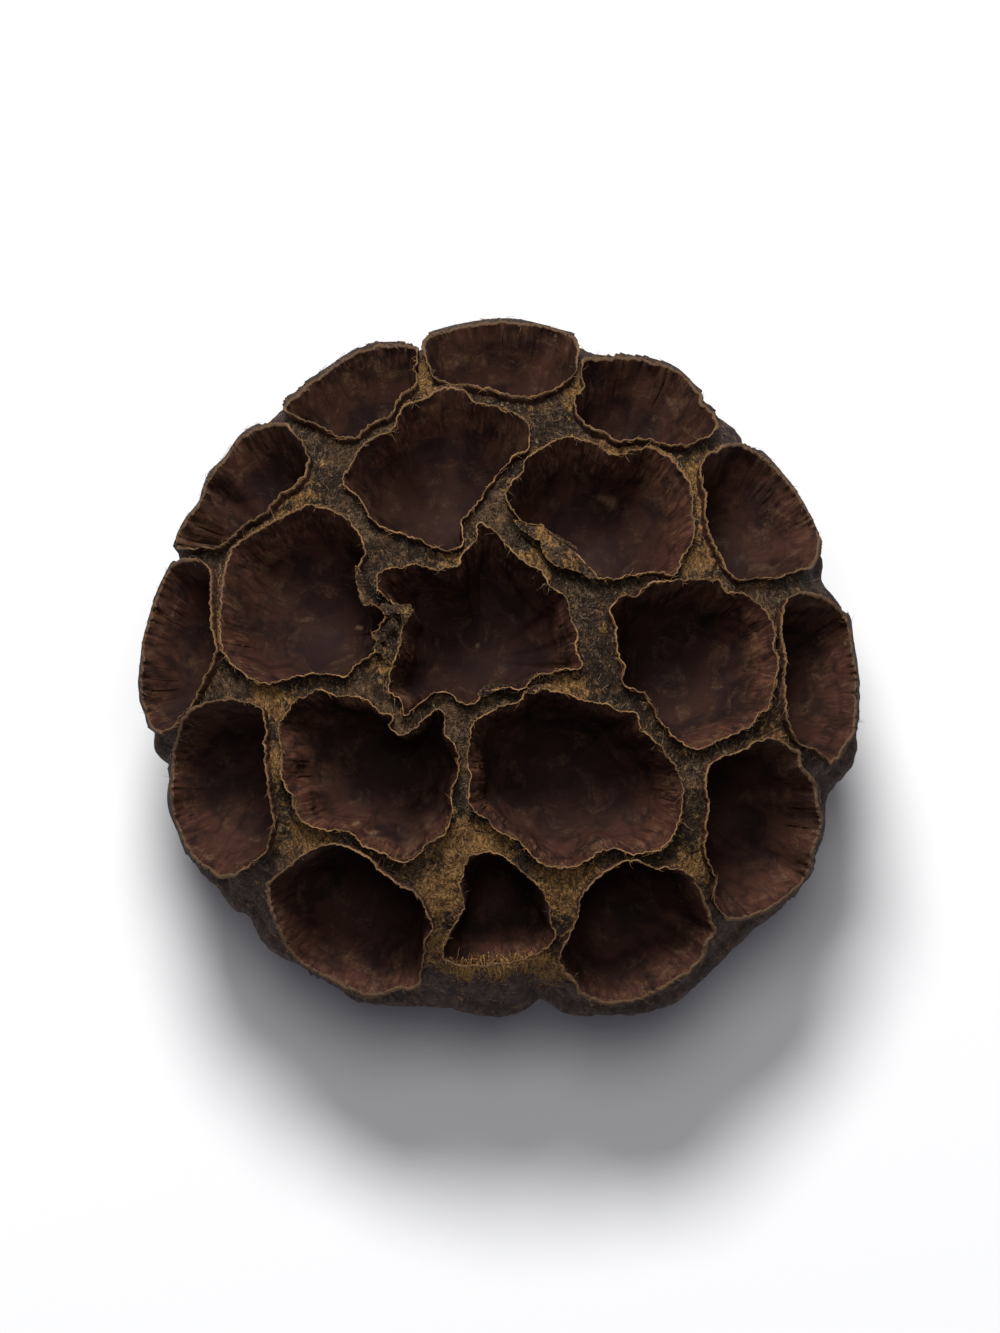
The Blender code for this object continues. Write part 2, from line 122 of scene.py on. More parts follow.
# The rim between and round the outer sockets, as drawn
RIM = (
    (45.1, 0.0), (44.3, 5.5), (43.4, 9.0), (41.4, 11.6), (41.5, 14.0), (40.0, 17.2), (38.4, 20.8),
    (35.2, 25.0), (31.9, 28.6), (30.2, 31.2), (27.4, 33.4), (25.0, 35.2), (22.4, 37.6), (18.6, 39.0),
    (15.0, 40.2), (11.0, 41.4), (7.5, 42.4), (3.6, 43.4), (-0.5, 43.8), (-5.0, 43.1), (-9.0, 42.0),
    (-12.2, 40.9), (-15.0, 41.0), (-18.6, 39.9), (-22.0, 37.6), (-25.0, 35.8), (-29.0, 33.1),
    (-31.2, 30.2), (-33.2, 28.8), (-35.2, 26.0), (-37.1, 24.0), (-38.3, 20.6), (-40.2, 18.0),
    (-41.1, 15.8), (-41.0, 14.2), (-42.2, 12.0), (-43.6, 8.8), (-44.8, 4.5), (-45.5, 0.0),
    (-45.4, -3.6), (-44.4, -7.0), (-44.2, -10.0), (-42.2, -11.4), (-41.5, -13.8), (-41.8, -17.0),
    (-40.3, -21.0), (-38.7, -25.0), (-36.0, -27.4), (-34.2, -30.0), (-32.2, -30.8), (-30.6, -34.0),
    (-28.2, -36.0), (-25.0, -37.6), (-21.2, -39.8), (-17.8, -42.0), (-13.5, -42.4), (-8.0, -42.6),
    (-3.8, -43.4), (0.6, -43.8), (3.2, -43.0), (5.0, -41.4), (7.2, -42.6), (10.4, -43.6),
    (15.4, -43.5), (20.0, -43.0), (23.6, -41.3), (26.2, -38.7), (28.8, -36.2), (32.4, -32.8),
    (35.4, -30.4), (37.8, -27.4), (39.9, -24.2), (41.4, -20.2), (42.0, -15.6), (44.2, -12.9),
    (45.6, -9.8), (45.4, -5.0),
)

# Each socket's depth and the outline of its mouth, as drawn, anticlockwise.
# The names give the ring and the hour of a clock face.
SOCKETS = {
    "outer_12": (15.0, (
        (9.6, 40.0), (9.0, 41.4), (6.6, 42.7), (3.0, 43.2), (-0.5, 43.4), (-4.5, 42.8), (-8.0, 41.9),
        (-9.3, 40.2), (-8.8, 37.8), (-7.6, 36.2), (-5.0, 35.5), (-2.0, 35.0), (1.5, 34.1), (4.5, 34.0),
        (7.0, 35.3), (9.1, 36.8),
    )),
    "outer_1": (15.0, (
        (27.0, 30.2), (26.6, 31.8), (25.3, 33.0), (24.8, 34.7), (22.6, 37.0), (19.5, 38.2), (16.5, 38.8),
        (13.0, 38.6), (10.7, 38.5), (10.3, 36.8), (10.6, 35.2), (9.4, 33.9), (9.7, 31.8), (11.2, 30.2),
        (13.4, 29.3), (14.9, 28.4), (17.5, 28.9), (20.5, 28.2), (23.0, 27.9), (25.5, 28.9),
    )),
    "outer_2": (15.0, (
        (39.9, 15.2), (39.5, 17.6), (38.3, 20.0), (37.2, 21.9), (35.3, 24.2), (33.7, 25.8), (31.5, 27.2),
        (29.5, 27.9), (27.4, 27.2), (25.6, 26.2), (25.3, 24.0), (25.8, 21.5), (25.8, 18.0), (26.6, 15.8),
        (28.2, 12.7), (29.6, 11.2), (32.0, 11.3), (34.2, 11.4), (37.0, 12.2), (39.0, 13.2),
    )),
    "outer_3": (15.0, (
        (44.5, -1.0), (44.2, 2.5), (43.6, 5.6), (41.9, 7.7), (39.6, 8.9), (37.4, 9.2), (35.9, 8.2),
        (35.3, 6.0), (35.3, 3.0), (35.8, 0.5), (35.6, -3.0), (36.0, -6.2), (37.2, -9.0), (39.6, -10.2),
        (41.4, -11.5), (42.8, -10.2), (43.9, -8.0), (44.5, -5.0),
    )),
    "outer_4": (16.0, (
        (39.9, -19.2), (39.4, -16.5), (39.2, -14.7), (37.6, -12.8), (36.8, -10.6), (34.4, -9.0),
        (32.0, -9.3), (30.0, -10.4), (27.6, -11.2), (25.9, -12.6), (25.6, -15.0), (26.0, -17.3),
        (25.6, -20.0), (25.8, -23.5), (27.0, -26.6), (26.9, -29.0), (28.3, -30.9), (30.5, -31.1),
        (33.2, -30.2), (35.8, -28.5), (38.0, -26.4), (38.9, -23.5),
    )),
    "outer_5": (16.0, (
        (26.5, -33.0), (25.9, -31.0), (25.1, -28.6), (24.2, -26.4), (22.4, -25.2), (19.5, -25.0),
        (17.0, -24.1), (14.5, -24.6), (12.0, -26.2), (10.3, -28.2), (9.6, -31.0), (8.5, -33.8),
        (7.6, -36.0), (8.0, -37.5), (9.3, -38.8), (10.2, -40.4), (12.2, -41.4), (15.0, -41.7),
        (18.0, -40.9), (20.4, -39.6), (23.0, -38.2), (24.9, -36.4), (25.5, -34.6),
    )),
    "outer_6": (14.0, (
        (6.8, -33.2), (6.0, -31.2), (5.6, -28.8), (4.6, -27.2), (2.6, -25.4), (0.6, -23.7), (-1.9, -22.9),
        (-4.0, -24.0), (-4.7, -26.4), (-4.5, -29.4), (-5.8, -32.6), (-7.0, -35.2), (-6.4, -36.7),
        (-3.0, -37.2), (0.5, -36.8), (3.5, -36.2), (5.6, -35.0),
    )),
    "outer_7": (16.0, (
        (-8.5, -32.4), (-9.1, -30.4), (-10.6, -28.0), (-13.0, -26.7), (-14.8, -25.4), (-16.2, -23.8),
        (-18.2, -22.6), (-20.6, -21.9), (-23.4, -22.6), (-25.6, -24.4), (-27.8, -26.0), (-28.7, -27.4),
        (-28.5, -29.8), (-27.6, -32.2), (-26.4, -34.8), (-24.4, -37.0), (-21.6, -38.6), (-18.8, -39.9),
        (-15.8, -40.8), (-13.0, -39.9), (-10.6, -39.6), (-9.7, -37.5), (-9.5, -34.4),
    )),
    "outer_8": (15.0, (
        (-28.3, -18.8), (-28.9, -15.0), (-29.3, -12.0), (-29.4, -8.0), (-29.9, -5.2), (-32.0, -4.2),
        (-35.4, -4.1), (-37.8, -5.0), (-39.4, -6.4), (-40.2, -8.6), (-40.8, -11.8), (-41.0, -15.0),
        (-40.8, -18.0), (-39.8, -20.8), (-38.7, -23.0), (-36.9, -24.8), (-34.2, -25.8), (-32.0, -25.0),
        (-30.0, -23.4), (-28.8, -21.4),
    )),
    "outer_9": (15.0, (
        (-35.6, 2.4), (-36.1, 4.6), (-36.3, 8.0), (-36.3, 11.4), (-37.0, 13.0), (-38.8, 13.4),
        (-41.2, 12.5), (-42.4, 10.4), (-43.6, 7.0), (-44.5, 3.4), (-44.9, 0.0), (-44.9, -3.6),
        (-44.1, -6.3), (-42.6, -8.0), (-41.2, -7.4), (-39.2, -5.2), (-37.6, -2.6), (-36.2, 0.2),
    )),
    "outer_10": (15.0, (
        (-24.0, 25.6), (-24.4, 27.4), (-25.6, 29.2), (-27.4, 30.5), (-29.6, 30.1), (-31.8, 29.2),
        (-33.7, 27.3), (-35.3, 25.1), (-36.7, 23.3), (-37.7, 20.6), (-39.3, 18.5), (-40.5, 16.2),
        (-39.8, 15.0), (-37.2, 15.3), (-35.0, 15.1), (-33.6, 16.5), (-31.8, 18.2), (-29.6, 19.4),
        (-27.6, 21.5), (-25.3, 22.9),
    )),
    "outer_11": (15.0, (
        (-10.6, 35.5), (-10.9, 37.6), (-10.6, 40.0), (-13.5, 40.5), (-17.0, 39.9), (-19.7, 38.6),
        (-22.2, 36.7), (-24.2, 35.4), (-25.4, 34.0), (-27.0, 33.0), (-26.4, 31.9), (-23.4, 30.8),
        (-21.4, 29.7), (-19.6, 28.9), (-17.6, 29.3), (-15.4, 31.0), (-13.7, 31.7), (-12.7, 33.8),
    )),
    "inner_11": (17.0, (
        (3.7, 29.8), (2.5, 31.4), (0.0, 32.4), (-2.8, 33.1), (-4.8, 34.5), (-7.0, 34.8), (-9.8, 33.5),
        (-12.0, 32.6), (-13.1, 30.0), (-15.0, 29.1), (-17.4, 27.6), (-18.4, 25.6), (-19.6, 23.7),
        (-19.0, 22.3), (-17.2, 21.0), (-16.0, 18.8), (-14.6, 17.6), (-11.4, 16.6), (-9.0, 15.6),
        (-6.8, 14.7), (-5.0, 15.2), (-4.7, 16.8), (-4.9, 18.4), (-3.4, 20.2), (-1.6, 22.5), (0.2, 24.9),
        (1.6, 26.4), (3.4, 27.4),
    )),
    "inner_1": (17.0, (
        (24.0, 19.6), (23.8, 22.6), (22.6, 24.5), (21.0, 26.3), (19.0, 27.4), (16.8, 27.1), (14.4, 26.5),
        (12.6, 27.4), (10.4, 28.3), (8.0, 28.7), (5.4, 27.3), (3.4, 26.0), (3.0, 24.5), (1.4, 23.0),
        (0.8, 21.2), (2.1, 19.2), (3.4, 18.0), (5.2, 17.6), (7.6, 15.7), (9.6, 14.2), (11.2, 12.3),
        (12.6, 11.1), (15.2, 11.3), (17.4, 12.0), (20.0, 12.0), (21.6, 11.7), (22.6, 14.0), (23.8, 15.6),
    )),
    "inner_3": (17.0, (
        (34.6, 0.6), (34.1, 2.6), (34.1, 5.0), (32.6, 7.4), (30.4, 9.2), (28.4, 9.5), (27.2, 10.9),
        (24.6, 11.0), (21.6, 10.9), (18.8, 10.3), (17.0, 9.0), (15.4, 8.8), (13.8, 7.2), (14.4, 4.6),
        (14.6, 2.2), (15.3, 0.0), (15.4, -1.8), (17.6, -3.0), (19.2, -5.1), (20.8, -7.6), (22.6, -9.2),
        (24.8, -10.0), (27.0, -9.0), (29.6, -7.8), (31.4, -7.0), (32.2, -5.6), (33.4, -5.0), (34.2, -2.0),
    )),
    "inner_5": (17.5, (
        (22.7, -16.0), (22.3, -13.0), (20.6, -11.0), (19.4, -9.0), (17.5, -7.7), (16.9, -5.6),
        (15.0, -5.6), (12.6, -4.5), (10.0, -4.0), (7.0, -3.0), (4.0, -2.6), (2.4, -4.0), (-0.4, -5.2),
        (-2.4, -6.1), (-3.5, -7.4), (-3.9, -10.4), (-3.6, -13.6), (-3.7, -16.8), (-2.0, -18.4),
        (-0.6, -19.8), (1.8, -21.2), (3.6, -22.6), (5.0, -24.2), (7.6, -24.8), (9.6, -24.5),
        (11.6, -23.0), (13.8, -22.3), (17.0, -23.0), (19.8, -22.6), (21.4, -21.0), (22.4, -18.8),
    )),
    "inner_7": (17.0, (
        (-5.2, -12.4), (-5.9, -9.6), (-6.9, -7.8), (-7.0, -5.8), (-8.0, -5.1), (-8.9, -5.9),
        (-10.2, -7.2), (-12.4, -8.4), (-13.8, -7.3), (-13.6, -6.2), (-15.2, -5.3), (-17.0, -4.1),
        (-19.8, -3.5), (-22.3, -2.7), (-24.4, -3.7), (-25.8, -4.5), (-27.2, -6.8), (-27.3, -10.4),
        (-27.0, -14.2), (-25.8, -15.8), (-25.0, -18.2), (-24.2, -19.4), (-21.6, -20.0), (-18.8, -20.5),
        (-16.8, -22.0), (-14.6, -22.9), (-12.4, -24.0), (-10.4, -23.4), (-9.2, -21.9), (-7.2, -20.6),
        (-6.2, -18.4), (-6.0, -15.4),
    )),
    "inner_9": (17.0, (
        (-16.9, 14.6), (-17.8, 17.0), (-19.6, 18.8), (-21.6, 19.8), (-23.8, 20.2), (-26.4, 19.2),
        (-29.0, 17.8), (-31.6, 16.2), (-33.5, 14.6), (-34.3, 12.0), (-34.7, 9.0), (-34.8, 5.4),
        (-34.6, 2.6), (-33.4, 0.4), (-31.6, -0.8), (-29.2, -1.9), (-26.8, -1.4), (-24.6, -0.7),
        (-21.6, -0.7), (-19.2, -0.9), (-17.8, 0.6), (-15.9, 1.8), (-15.5, 3.0), (-15.9, 4.2),
        (-14.6, 5.8), (-14.4, 7.4), (-16.2, 8.0), (-17.3, 8.9), (-17.8, 12.0),
    )),
    "centre": (18.0, (
        (9.9, 0.3), (9.4, 2.0), (9.5, 4.0), (8.8, 5.4), (8.6, 7.6), (8.1, 9.0), (6.4, 10.0), (5.2, 11.8),
        (3.4, 12.9), (1.2, 14.8), (-0.6, 16.8), (-2.6, 17.8), (-2.9, 15.8), (-4.4, 14.3), (-5.1, 12.8),
        (-8.0, 12.3), (-11.0, 12.8), (-14.2, 12.2), (-15.4, 11.0), (-14.8, 9.6), (-13.2, 8.2),
        (-11.2, 7.4), (-11.9, 5.4), (-12.3, 3.0), (-13.3, 0.4), (-13.9, -2.4), (-12.4, -4.0),
        (-11.8, -5.9), (-10.2, -4.6), (-8.4, -3.1), (-6.6, -2.9), (-5.0, -4.2), (-3.6, -4.4),
        (-2.0, -3.0), (0.4, -2.3), (2.6, -2.6), (4.6, -0.9), (7.6, -0.4),
    )),
}

# Where the wall between two sockets is broken down: drawn place, half-width and depth
BREAKS = (((-14.6, 8.2), 0.9, 2.6), ((7.8, -38.4), 0.55, 1.4), ((-0.4, -37.0), 5.8, 0.5))

# Cracks of the flesh, as drawn: sunk into it, and painted with dark shade along them
CRACKS = (
    ((1.3, 18.6), (2.4, 17.7), (3.5, 16.9), (4.3, 15.8), (5.2, 14.9), (5.5, 13.9), (6.2, 13.1),
     (7.3, 12.8), (8.6, 12.2), (9.4, 11.6)),
    ((5.2, 14.9), (6.1, 14.6), (7.0, 13.9)),
    ((-0.4, -3.0), (0.9, -3.4), (2.2, -3.5)),
    ((-17.0, 12.2), (-16.5, 10.4), (-15.9, 9.0), (-15.3, 8.5)),
)

# Pale flecks and scars on the linings: the two ends of each, as drawn, and its half-width
SPOTS = (
    ((12.7, 21.3), (14.3, 20.9), 0.42),
    ((13.6, 20.8), (14.2, 20.4), 0.4),
    ((-17.9, 5.1), (-17.4, 5.0), 0.2),
    ((-2.85, 2.7), (-2.75, 2.7), 0.15),
    ((-18.2, -19.4), (-17.7, -19.2), 0.2),
    ((-16.0, -20.6), (-15.6, -20.5), 0.2),
)

# Torn creases of the linings, as drawn, painted as lines of dark shade
CREASES = (((-33.9, 1.8), (-32.6, 2.0), (-31.8, 1.4), (-30.2, 0.8), (-28.9, 0.0), (-26.0, 0.4)),)

# The frayed edge under the lowest socket: its ends, as drawn, and how many fibres it has
FRINGE = ((-6.4, -37.5), (6.4, -36.3))
FRINGE_FIBRES = 420

# Golden, rubbed patches of the flesh: drawn place, reach and strength
OCHRE_PATCHES = (
    ((25.0, 22.5), 4.0, 0.8), ((24.6, 14.0), 2.6, 0.8), ((-5.0, -22.0), 3.4, 1.0),
    ((-1.0, -21.5), 3.2, 0.9), ((7.6, -27.5), 3.2, 1.0), ((-7.2, -28.0), 3.4, 1.0),
    ((-7.5, -35.0), 3.0, 0.7), ((24.5, -24.5), 2.6, 0.9), ((9.6, -26.0), 2.8, 0.9),
    ((8.0, -2.9), 2.6, 1.0), ((4.6, 12.9), 2.0, 1.0), ((5.4, 16.9), 1.6, 1.0),
    ((8.6, 13.2), 1.0, 0.9), ((2.0, 21.5), 1.2, 0.7), ((-28.6, -4.0), 2.4, 0.9),
    ((-28.0, -12.0), 2.4, 0.7), ((-24.0, -21.0), 3.0, 0.8), ((-35.4, 5.0), 3.0, 0.8),
    ((-6.0, 14.0), 2.2, 0.7), ((9.8, 35.0), 2.6, 0.7), ((-9.9, 36.6), 2.4, 0.8),
    ((-4.4, -37.0), 1.9, 1.2), ((0.0, -37.0), 1.9, 1.2), ((4.0, -36.4), 1.9, 1.2),
    ((6.6, -37.4), 2.2, 0.8), ((34.9, -9.0), 2.2, 0.5), ((15.4, 28.0), 2.4, 0.7),
    ((-25.6, 20.8), 3.4, 0.5), ((-16.0, 1.0), 2.4, 0.4),
)

# Torn papery plates: height over the lips and the outline, as drawn
PLATES = {
    "torn_hanging": (0.15, (
        (-18.0, 12.6), (-17.4, 12.3), (-17.0, 10.5), (-16.5, 9.1), (-16.0, 8.2), (-16.6, 7.7),
        (-17.2, 8.1), (-17.7, 10.1),
    )),
    "torn_curl": (0.25, (
        (-14.7, 7.9), (-13.5, 7.8), (-12.5, 8.0), (-11.9, 7.5), (-11.5, 6.8), (-12.5, 6.7),
        (-13.3, 6.8), (-13.9, 6.5), (-14.6, 6.9),
    )),
    "torn_tip": (0.1, (
        (-12.2, 7.6), (-11.3, 7.9), (-10.8, 7.2), (-11.3, 6.0), (-12.0, 5.2), (-12.2, 6.2),
    )),
    "torn_flake_1": (0.1, ((-13.2, 6.2), (-14.2, 5.4), (-14.7, 4.8), (-13.9, 4.6), (-12.9, 5.3))),
    "torn_flake_2": (0.0, ((-15.0, 4.7), (-15.8, 4.0), (-15.2, 3.3), (-14.5, 3.3), (-14.2, 4.1))),
    "torn_flake_3": (0.05, (
        (-15.2, 3.2), (-15.9, 2.3), (-14.9, 1.8), (-13.9, 1.4), (-13.8, 2.1), (-14.6, 2.7),
    )),
    "splinter_top": (0.35, (
        (1.6, 18.4), (3.0, 17.8), (4.3, 17.4), (5.1, 17.9), (5.7, 16.9), (6.1, 16.1), (5.4, 15.7),
        (4.5, 15.9), (3.5, 16.5), (2.4, 17.2),
    )),
    "splinter_long": (0.3, (
        (5.9, 16.5), (7.6, 15.5), (9.2, 14.3), (10.4, 13.0), (12.0, 11.2), (11.1, 11.1), (9.8, 11.8),
        (8.4, 12.2), (7.2, 12.5), (6.1, 13.1), (5.4, 14.1), (5.0, 15.3),
    )),
    "splinter_thin": (0.6, (
        (5.8, 16.9), (7.2, 16.2), (8.6, 15.4), (9.6, 14.4), (8.5, 15.0), (7.1, 15.8),
    )),
    "torn_flap": (0.1, (
        (-2.8, -3.3), (-2.1, -2.4), (-0.7, -1.9), (0.8, -2.1), (2.1, -2.1), (0.5, -2.6),
        (-0.7, -2.9), (-1.7, -3.5),
    )),
    "torn_sliver": (0.15, ((3.3, -2.9), (4.5, -2.1), (6.5, -2.1), (5.5, -2.7), (4.3, -3.2))),
}
PLATE_THICKNESS = 0.16
PLATE_SPACING = 0.14

# The rows of a plate: their share of its outline, and of its thickness below its top
PLATE_ROWS = ((0.3, 0.0), (0.6, 0.0), (0.85, 0.0), (1.0, 0.2), (1.0, 0.8), (0.85, 1.0), (0.5, 1.0))

# Fibres: how many for each point of a lip and on the felt, their radius and how far they bend
LIP_FIBRES = 0.35
FELT_FIBRES = 2600
FIBRE_RADIUS = 0.035
FIBRE_BEND = 0.3
FIBRE_SEED = 5


def mixed(low, high, share):
    """The value a share of the way from low to high."""
    return low + (high - low) * share


def closed_curve(points, spacing=None, count=None):
    """Evenly spaced points of the smooth closed curve through given points."""
    steps = np.arange(12) / 12
    points = np.array(points, float)
    before, after, beyond = np.roll(points, 1, 0), np.roll(points, -1, 0), np.roll(points, -2, 0)
    t = steps[None, :, None]
    a, b, c, d = (p[:, None, :] for p in (before, points, after, beyond))
    dense = 0.5 * (
        2 * b + (c - a) * t + (2 * a - 5 * b + 4 * c - d) * t**2 + (3 * b - a - 3 * c + d) * t**3
    )
    dense = dense.reshape(-1, points.shape[1])
    dense = np.vstack([dense, dense[:1]])
    run = np.concatenate([[0.0], np.cumsum(np.linalg.norm(np.diff(dense, axis=0), axis=1))])
    count = count or int(run[-1] / spacing)
    stations = np.arange(count) / count * run[-1]
    return np.column_stack([np.interp(stations, run, dense[:, k]) for k in range(points.shape[1])])


def noise_of(points, scale, shift=0.0):
    """Smooth noise from -1 to 1 at each of n points, with features 1 / scale wide."""
    points = np.asarray(points, float) * scale + shift
    return np.array([noise.noise(point) for point in points.tolist()])


def unit(vectors):
    return vectors / np.linalg.norm(vectors, axis=-1, keepdims=True)


@cache
def rim_stations():
    """The rim's azimuths and radii, smooth all the way round, for interpolation."""
    level = closed_curve([(across, up / math.cos(SIGHT_TILT)) for across, up in RIM], count=720)
    azimuths = np.arctan2(level[:, 1], level[:, 0]) % math.tau
    order = np.argsort(azimuths)
    return azimuths[order], np.hypot(level[:, 0], level[:, 1])[order]


def rim_radius(azimuths):
    stations, radii = rim_stations()
    return np.interp(azimuths % math.tau, stations, radii, period=math.tau)


def face_radius(azimuths, heights):
    """The dome's horizontal half-width. The rim's lobes fade out towards the top."""
    fade = np.clip(1.0 - (heights / FACE_RISE) ** 2, 0.0, 1.0)
    return mixed(MEAN_RIM_RADIUS, rim_radius(azimuths), fade)


def on_face(drawn):
    """The points of the lips' dome, measured from the rim's middle, behind drawn points."""
    sin, cos = math.sin(SIGHT_TILT), math.cos(SIGHT_TILT)
    across, up = np.asarray(drawn, float).T
    radius = np.full(len(across), MEAN_RIM_RADIUS)
    for _ in range(5):
        flat, tall = 1.0 / radius**2, 1.0 / FACE_RISE**2
        square = sin * sin * flat + cos * cos * tall
        cross = up * sin * cos * (tall - flat)
        rest = across**2 * flat + up**2 * (cos * cos * flat + sin * sin * tall) - 1.0
        nearer = (np.sqrt(np.clip(cross**2 - square * rest, 0.0, None)) - cross) / square
        points = np.column_stack([across, up * cos - nearer * sin, up * sin + nearer * cos])
        radius = face_radius(np.arctan2(points[:, 1], points[:, 0]), points[:, 2])
    return points


def face_normals(points):
    radius = face_radius(np.arctan2(points[:, 1], points[:, 0]), points[:, 2])
    return unit(points / np.column_stack([radius**2, radius**2, np.full(len(radius), FACE_RISE**2)]))


def drawn_from(points):
    """Where points measured from the rim's middle appear in the face's view."""
    sin, cos = math.sin(SIGHT_TILT), math.cos(SIGHT_TILT)
    return np.column_stack([points[:, 0], points[:, 1] * cos + points[:, 2] * sin])


class Socket:
    """One seed socket: the ring of its mouth, its axis and its bowl-shaped wall, in millimetres."""

    def __init__(self, name, number, depth, outline, ripple):
        self.name, self.number, self.depth = name, number, depth
        smooth = closed_curve(outline, spacing=LINING_SPACING)
        along = unit(np.roll(smooth, -1, 0) - np.roll(smooth, 1, 0))
        out = np.column_stack([along[:, 1], -along[:, 0]])
        place = np.column_stack([smooth, np.full(len(smooth), 3.7 * number)])
        wave = 0.5 * noise_of(place, 0.55) + 0.5 * noise_of(place, 1.5) + 0.4 * noise_of(place, 3.7)
        self.drawn = smooth + out * (wave * ripple)[:, None]
        self.mouth = on_face(self.drawn)
        self.ripple = self.mouth - on_face(smooth)
        self.normals = face_normals(self.mouth)
        along = np.roll(self.mouth, -1, 0) - np.roll(self.mouth, 1, 0)
        self.out = unit(np.cross(along, self.normals))
        self.count = len(self.mouth)
        self.middle = self.mouth.mean(0)
        square = -face_normals(self.middle[None])[0]
        aim = unit(np.array([0.0, 0.0, SOCKET_AIM_HEIGHT - RIM_HEIGHT]) - self.middle)
        self.down = unit(mixed(square, aim, SOCKET_AIM_SHARE))
        turn = np.arange(self.count) / self.count * math.tau
        reach = self.count * LINING_SPACING / math.tau
        self.around = np.column_stack([np.cos(turn), np.sin(turn)]) * reach
        outwards = (out * unit(self.drawn)).sum(1)
        far = np.linalg.norm(self.drawn, axis=1)
        self.at_rim = smooth_step(far, 34.5, 40.0) * np.clip(outwards * 2.0, 0.0, 1.0)
        # How much darker a lip is made towards the rim
        self.stain = np.maximum(self.at_rim, 0.55 * smooth_step(far, 20.0, 38.0))
        self.soft = float(smooth_step(np.linalg.norm(self.drawn.mean(0)), 24.0, 30.0))
        self.flare = 0.22 * noise_of(place, 0.3, 5.0) + 0.16 * noise_of(place, 1.3, 9.0)

    def wall(self, shares, swell=0.0):
        """The wall's points at a share of the depth for each column, pushed out by swell."""
        shares = np.broadcast_to(shares, self.count)
        inside = np.clip(shares, 0.0, 1.0)[:, None]
        offsets = self.mouth - self.middle - self.ripple * (1.0 - np.exp(-inside * self.depth / 1.5))
        level = offsets - np.outer(offsets @ self.down, self.down)
        mean_radius = np.linalg.norm(level, axis=1).mean()
        own = mixed(offsets, level, inside)
        rounded = mixed(own, unit(level) * mean_radius, SOCKET_ROUNDING * inside**2)
        size = (1.0 - SOCKET_TAPER * inside) * np.sqrt(1.0 - inside**SOCKET_BOWL)
        points = self.middle + self.down * self.depth * inside + rounded * size
        points += self.normals * (np.clip(-shares, 0.0, None) * self.depth)[:, None]
        points += self.out * (self.flare * np.exp(-np.clip(shares, 0.0, 1.0) * self.depth / 0.9))[:, None]
        return points + self.outward(inside) * np.broadcast_to(swell, self.count)[:, None]

    def outward(self, inside):
        """Away from the socket's hollow: sideways at the mouth, and down at the floor."""
        return unit(mixed(self.out, self.down, np.sin(inside * math.pi / 2.0) ** 6))

    def floor(self, below=0.0):
        return self.middle + self.down * (self.depth + below)


@cache
def sockets():
    """All the sockets, with the lip ripple that the settings give."""
    ripple = bpy.context.scene.lotus_form.lip_ripple / MM
    return [
        Socket(name, number, depth, outline, ripple)
        for number, (name, (depth, outline)) in enumerate(SOCKETS.items())
    ]


def raised(points):
    """Points measured from the rim's middle, moved to stand over the cut end."""
    return points + np.array([0.0, 0.0, RIM_HEIGHT])


def breaks_at(drawn):
    """How far the broken-down places lower the lips and the flesh at drawn points."""
    drop = np.zeros(len(drawn))
    for place, half_width, depth in BREAKS:
        distance = np.linalg.norm(drawn - np.array(place), axis=1)
        drop = np.maximum(drop, depth * np.exp(-((distance / half_width) ** 4)))
    return drop


def spots_at(drawn):
    """How strongly the pale flecks and scars of the linings mark drawn points."""
    strength = np.zeros(len(drawn))
    for start, end, reach in SPOTS:
        distance = line_distances(drawn, ((start, end),))
        strength = np.maximum(strength, 0.7 * np.exp(-((distance / reach) ** 2)))
    return strength


def loft(name, rows, first, last, layers=None):
    """A closed skin through rows of equally many points, drawn together in a point at each end."""
    layers = layers or {}
    mesh = bmesh.new()
    kept = {}
    for key, values in layers.items():
        kinds = mesh.verts.layers.float_vector if values.ndim == 3 else mesh.verts.layers.float
        kept[key] = (kinds.new(key), values.tolist())
    rows = (np.asarray(rows) * MM).tolist()
    ring = [mesh.verts.new(point) for point in rows[0]]
    write_layers(ring, kept, 0)
    edges = [mesh.edges.new((ring[i - 1], ring[i])) for i in range(len(ring))]
    draw_together(mesh, edges, first * MM)
    for number, row in enumerate(rows[1:], 1):
        ring, edges = extrude_ring(mesh, ring, edges)
        for vertex, point in zip(ring, row):
            vertex.co = point
        write_layers(ring, kept, number)
    draw_together(mesh, edges, last * MM)
    bmesh.ops.recalc_face_normals(mesh, faces=mesh.faces)
    return finished(name, mesh)


def write_layers(ring, kept, number):
    for layer, values in kept.values():
        for vertex, value in zip(ring, values[number]):
            vertex[layer] = value


def extrude_ring(mesh, ring, edges):
    """Extrudes a closed row of edges and gives the new row in the old one's order."""
    order = {vertex: i for i, vertex in enumerate(ring)}
    made = bmesh.ops.extrude_edge_only(mesh, edges=edges)["geom"]
    new_ring = [None] * len(ring)
    for vertex in (item for item in made if isinstance(item, bmesh.types.BMVert)):
        for edge in vertex.link_edges:
            number = order.get(edge.other_vert(vertex))
            if number is not None:
                new_ring[number] = vertex
    new_edges = [mesh.edges.get((new_ring[i - 1], new_ring[i])) for i in range(len(new_ring))]
    return new_ring, new_edges


def draw_together(mesh, edges, point):
    """Draws a row of edges together in one point."""
    made = bmesh.ops.extrude_edge_only(mesh, edges=edges)["geom"]
    verts = [item for item in made if isinstance(item, bmesh.types.BMVert)]
    bmesh.ops.pointmerge(mesh, verts=verts, merge_co=point)


def finished(name, mesh):
    """Turns a bmesh into an object with smooth faces."""
    data = bpy.data.meshes.new(name)
    mesh.to_mesh(data)
    mesh.free()
    data.shade_smooth()
    piece = bpy.data.objects.new(name, data)
    bpy.context.scene.collection.objects.link(piece)
    return piece


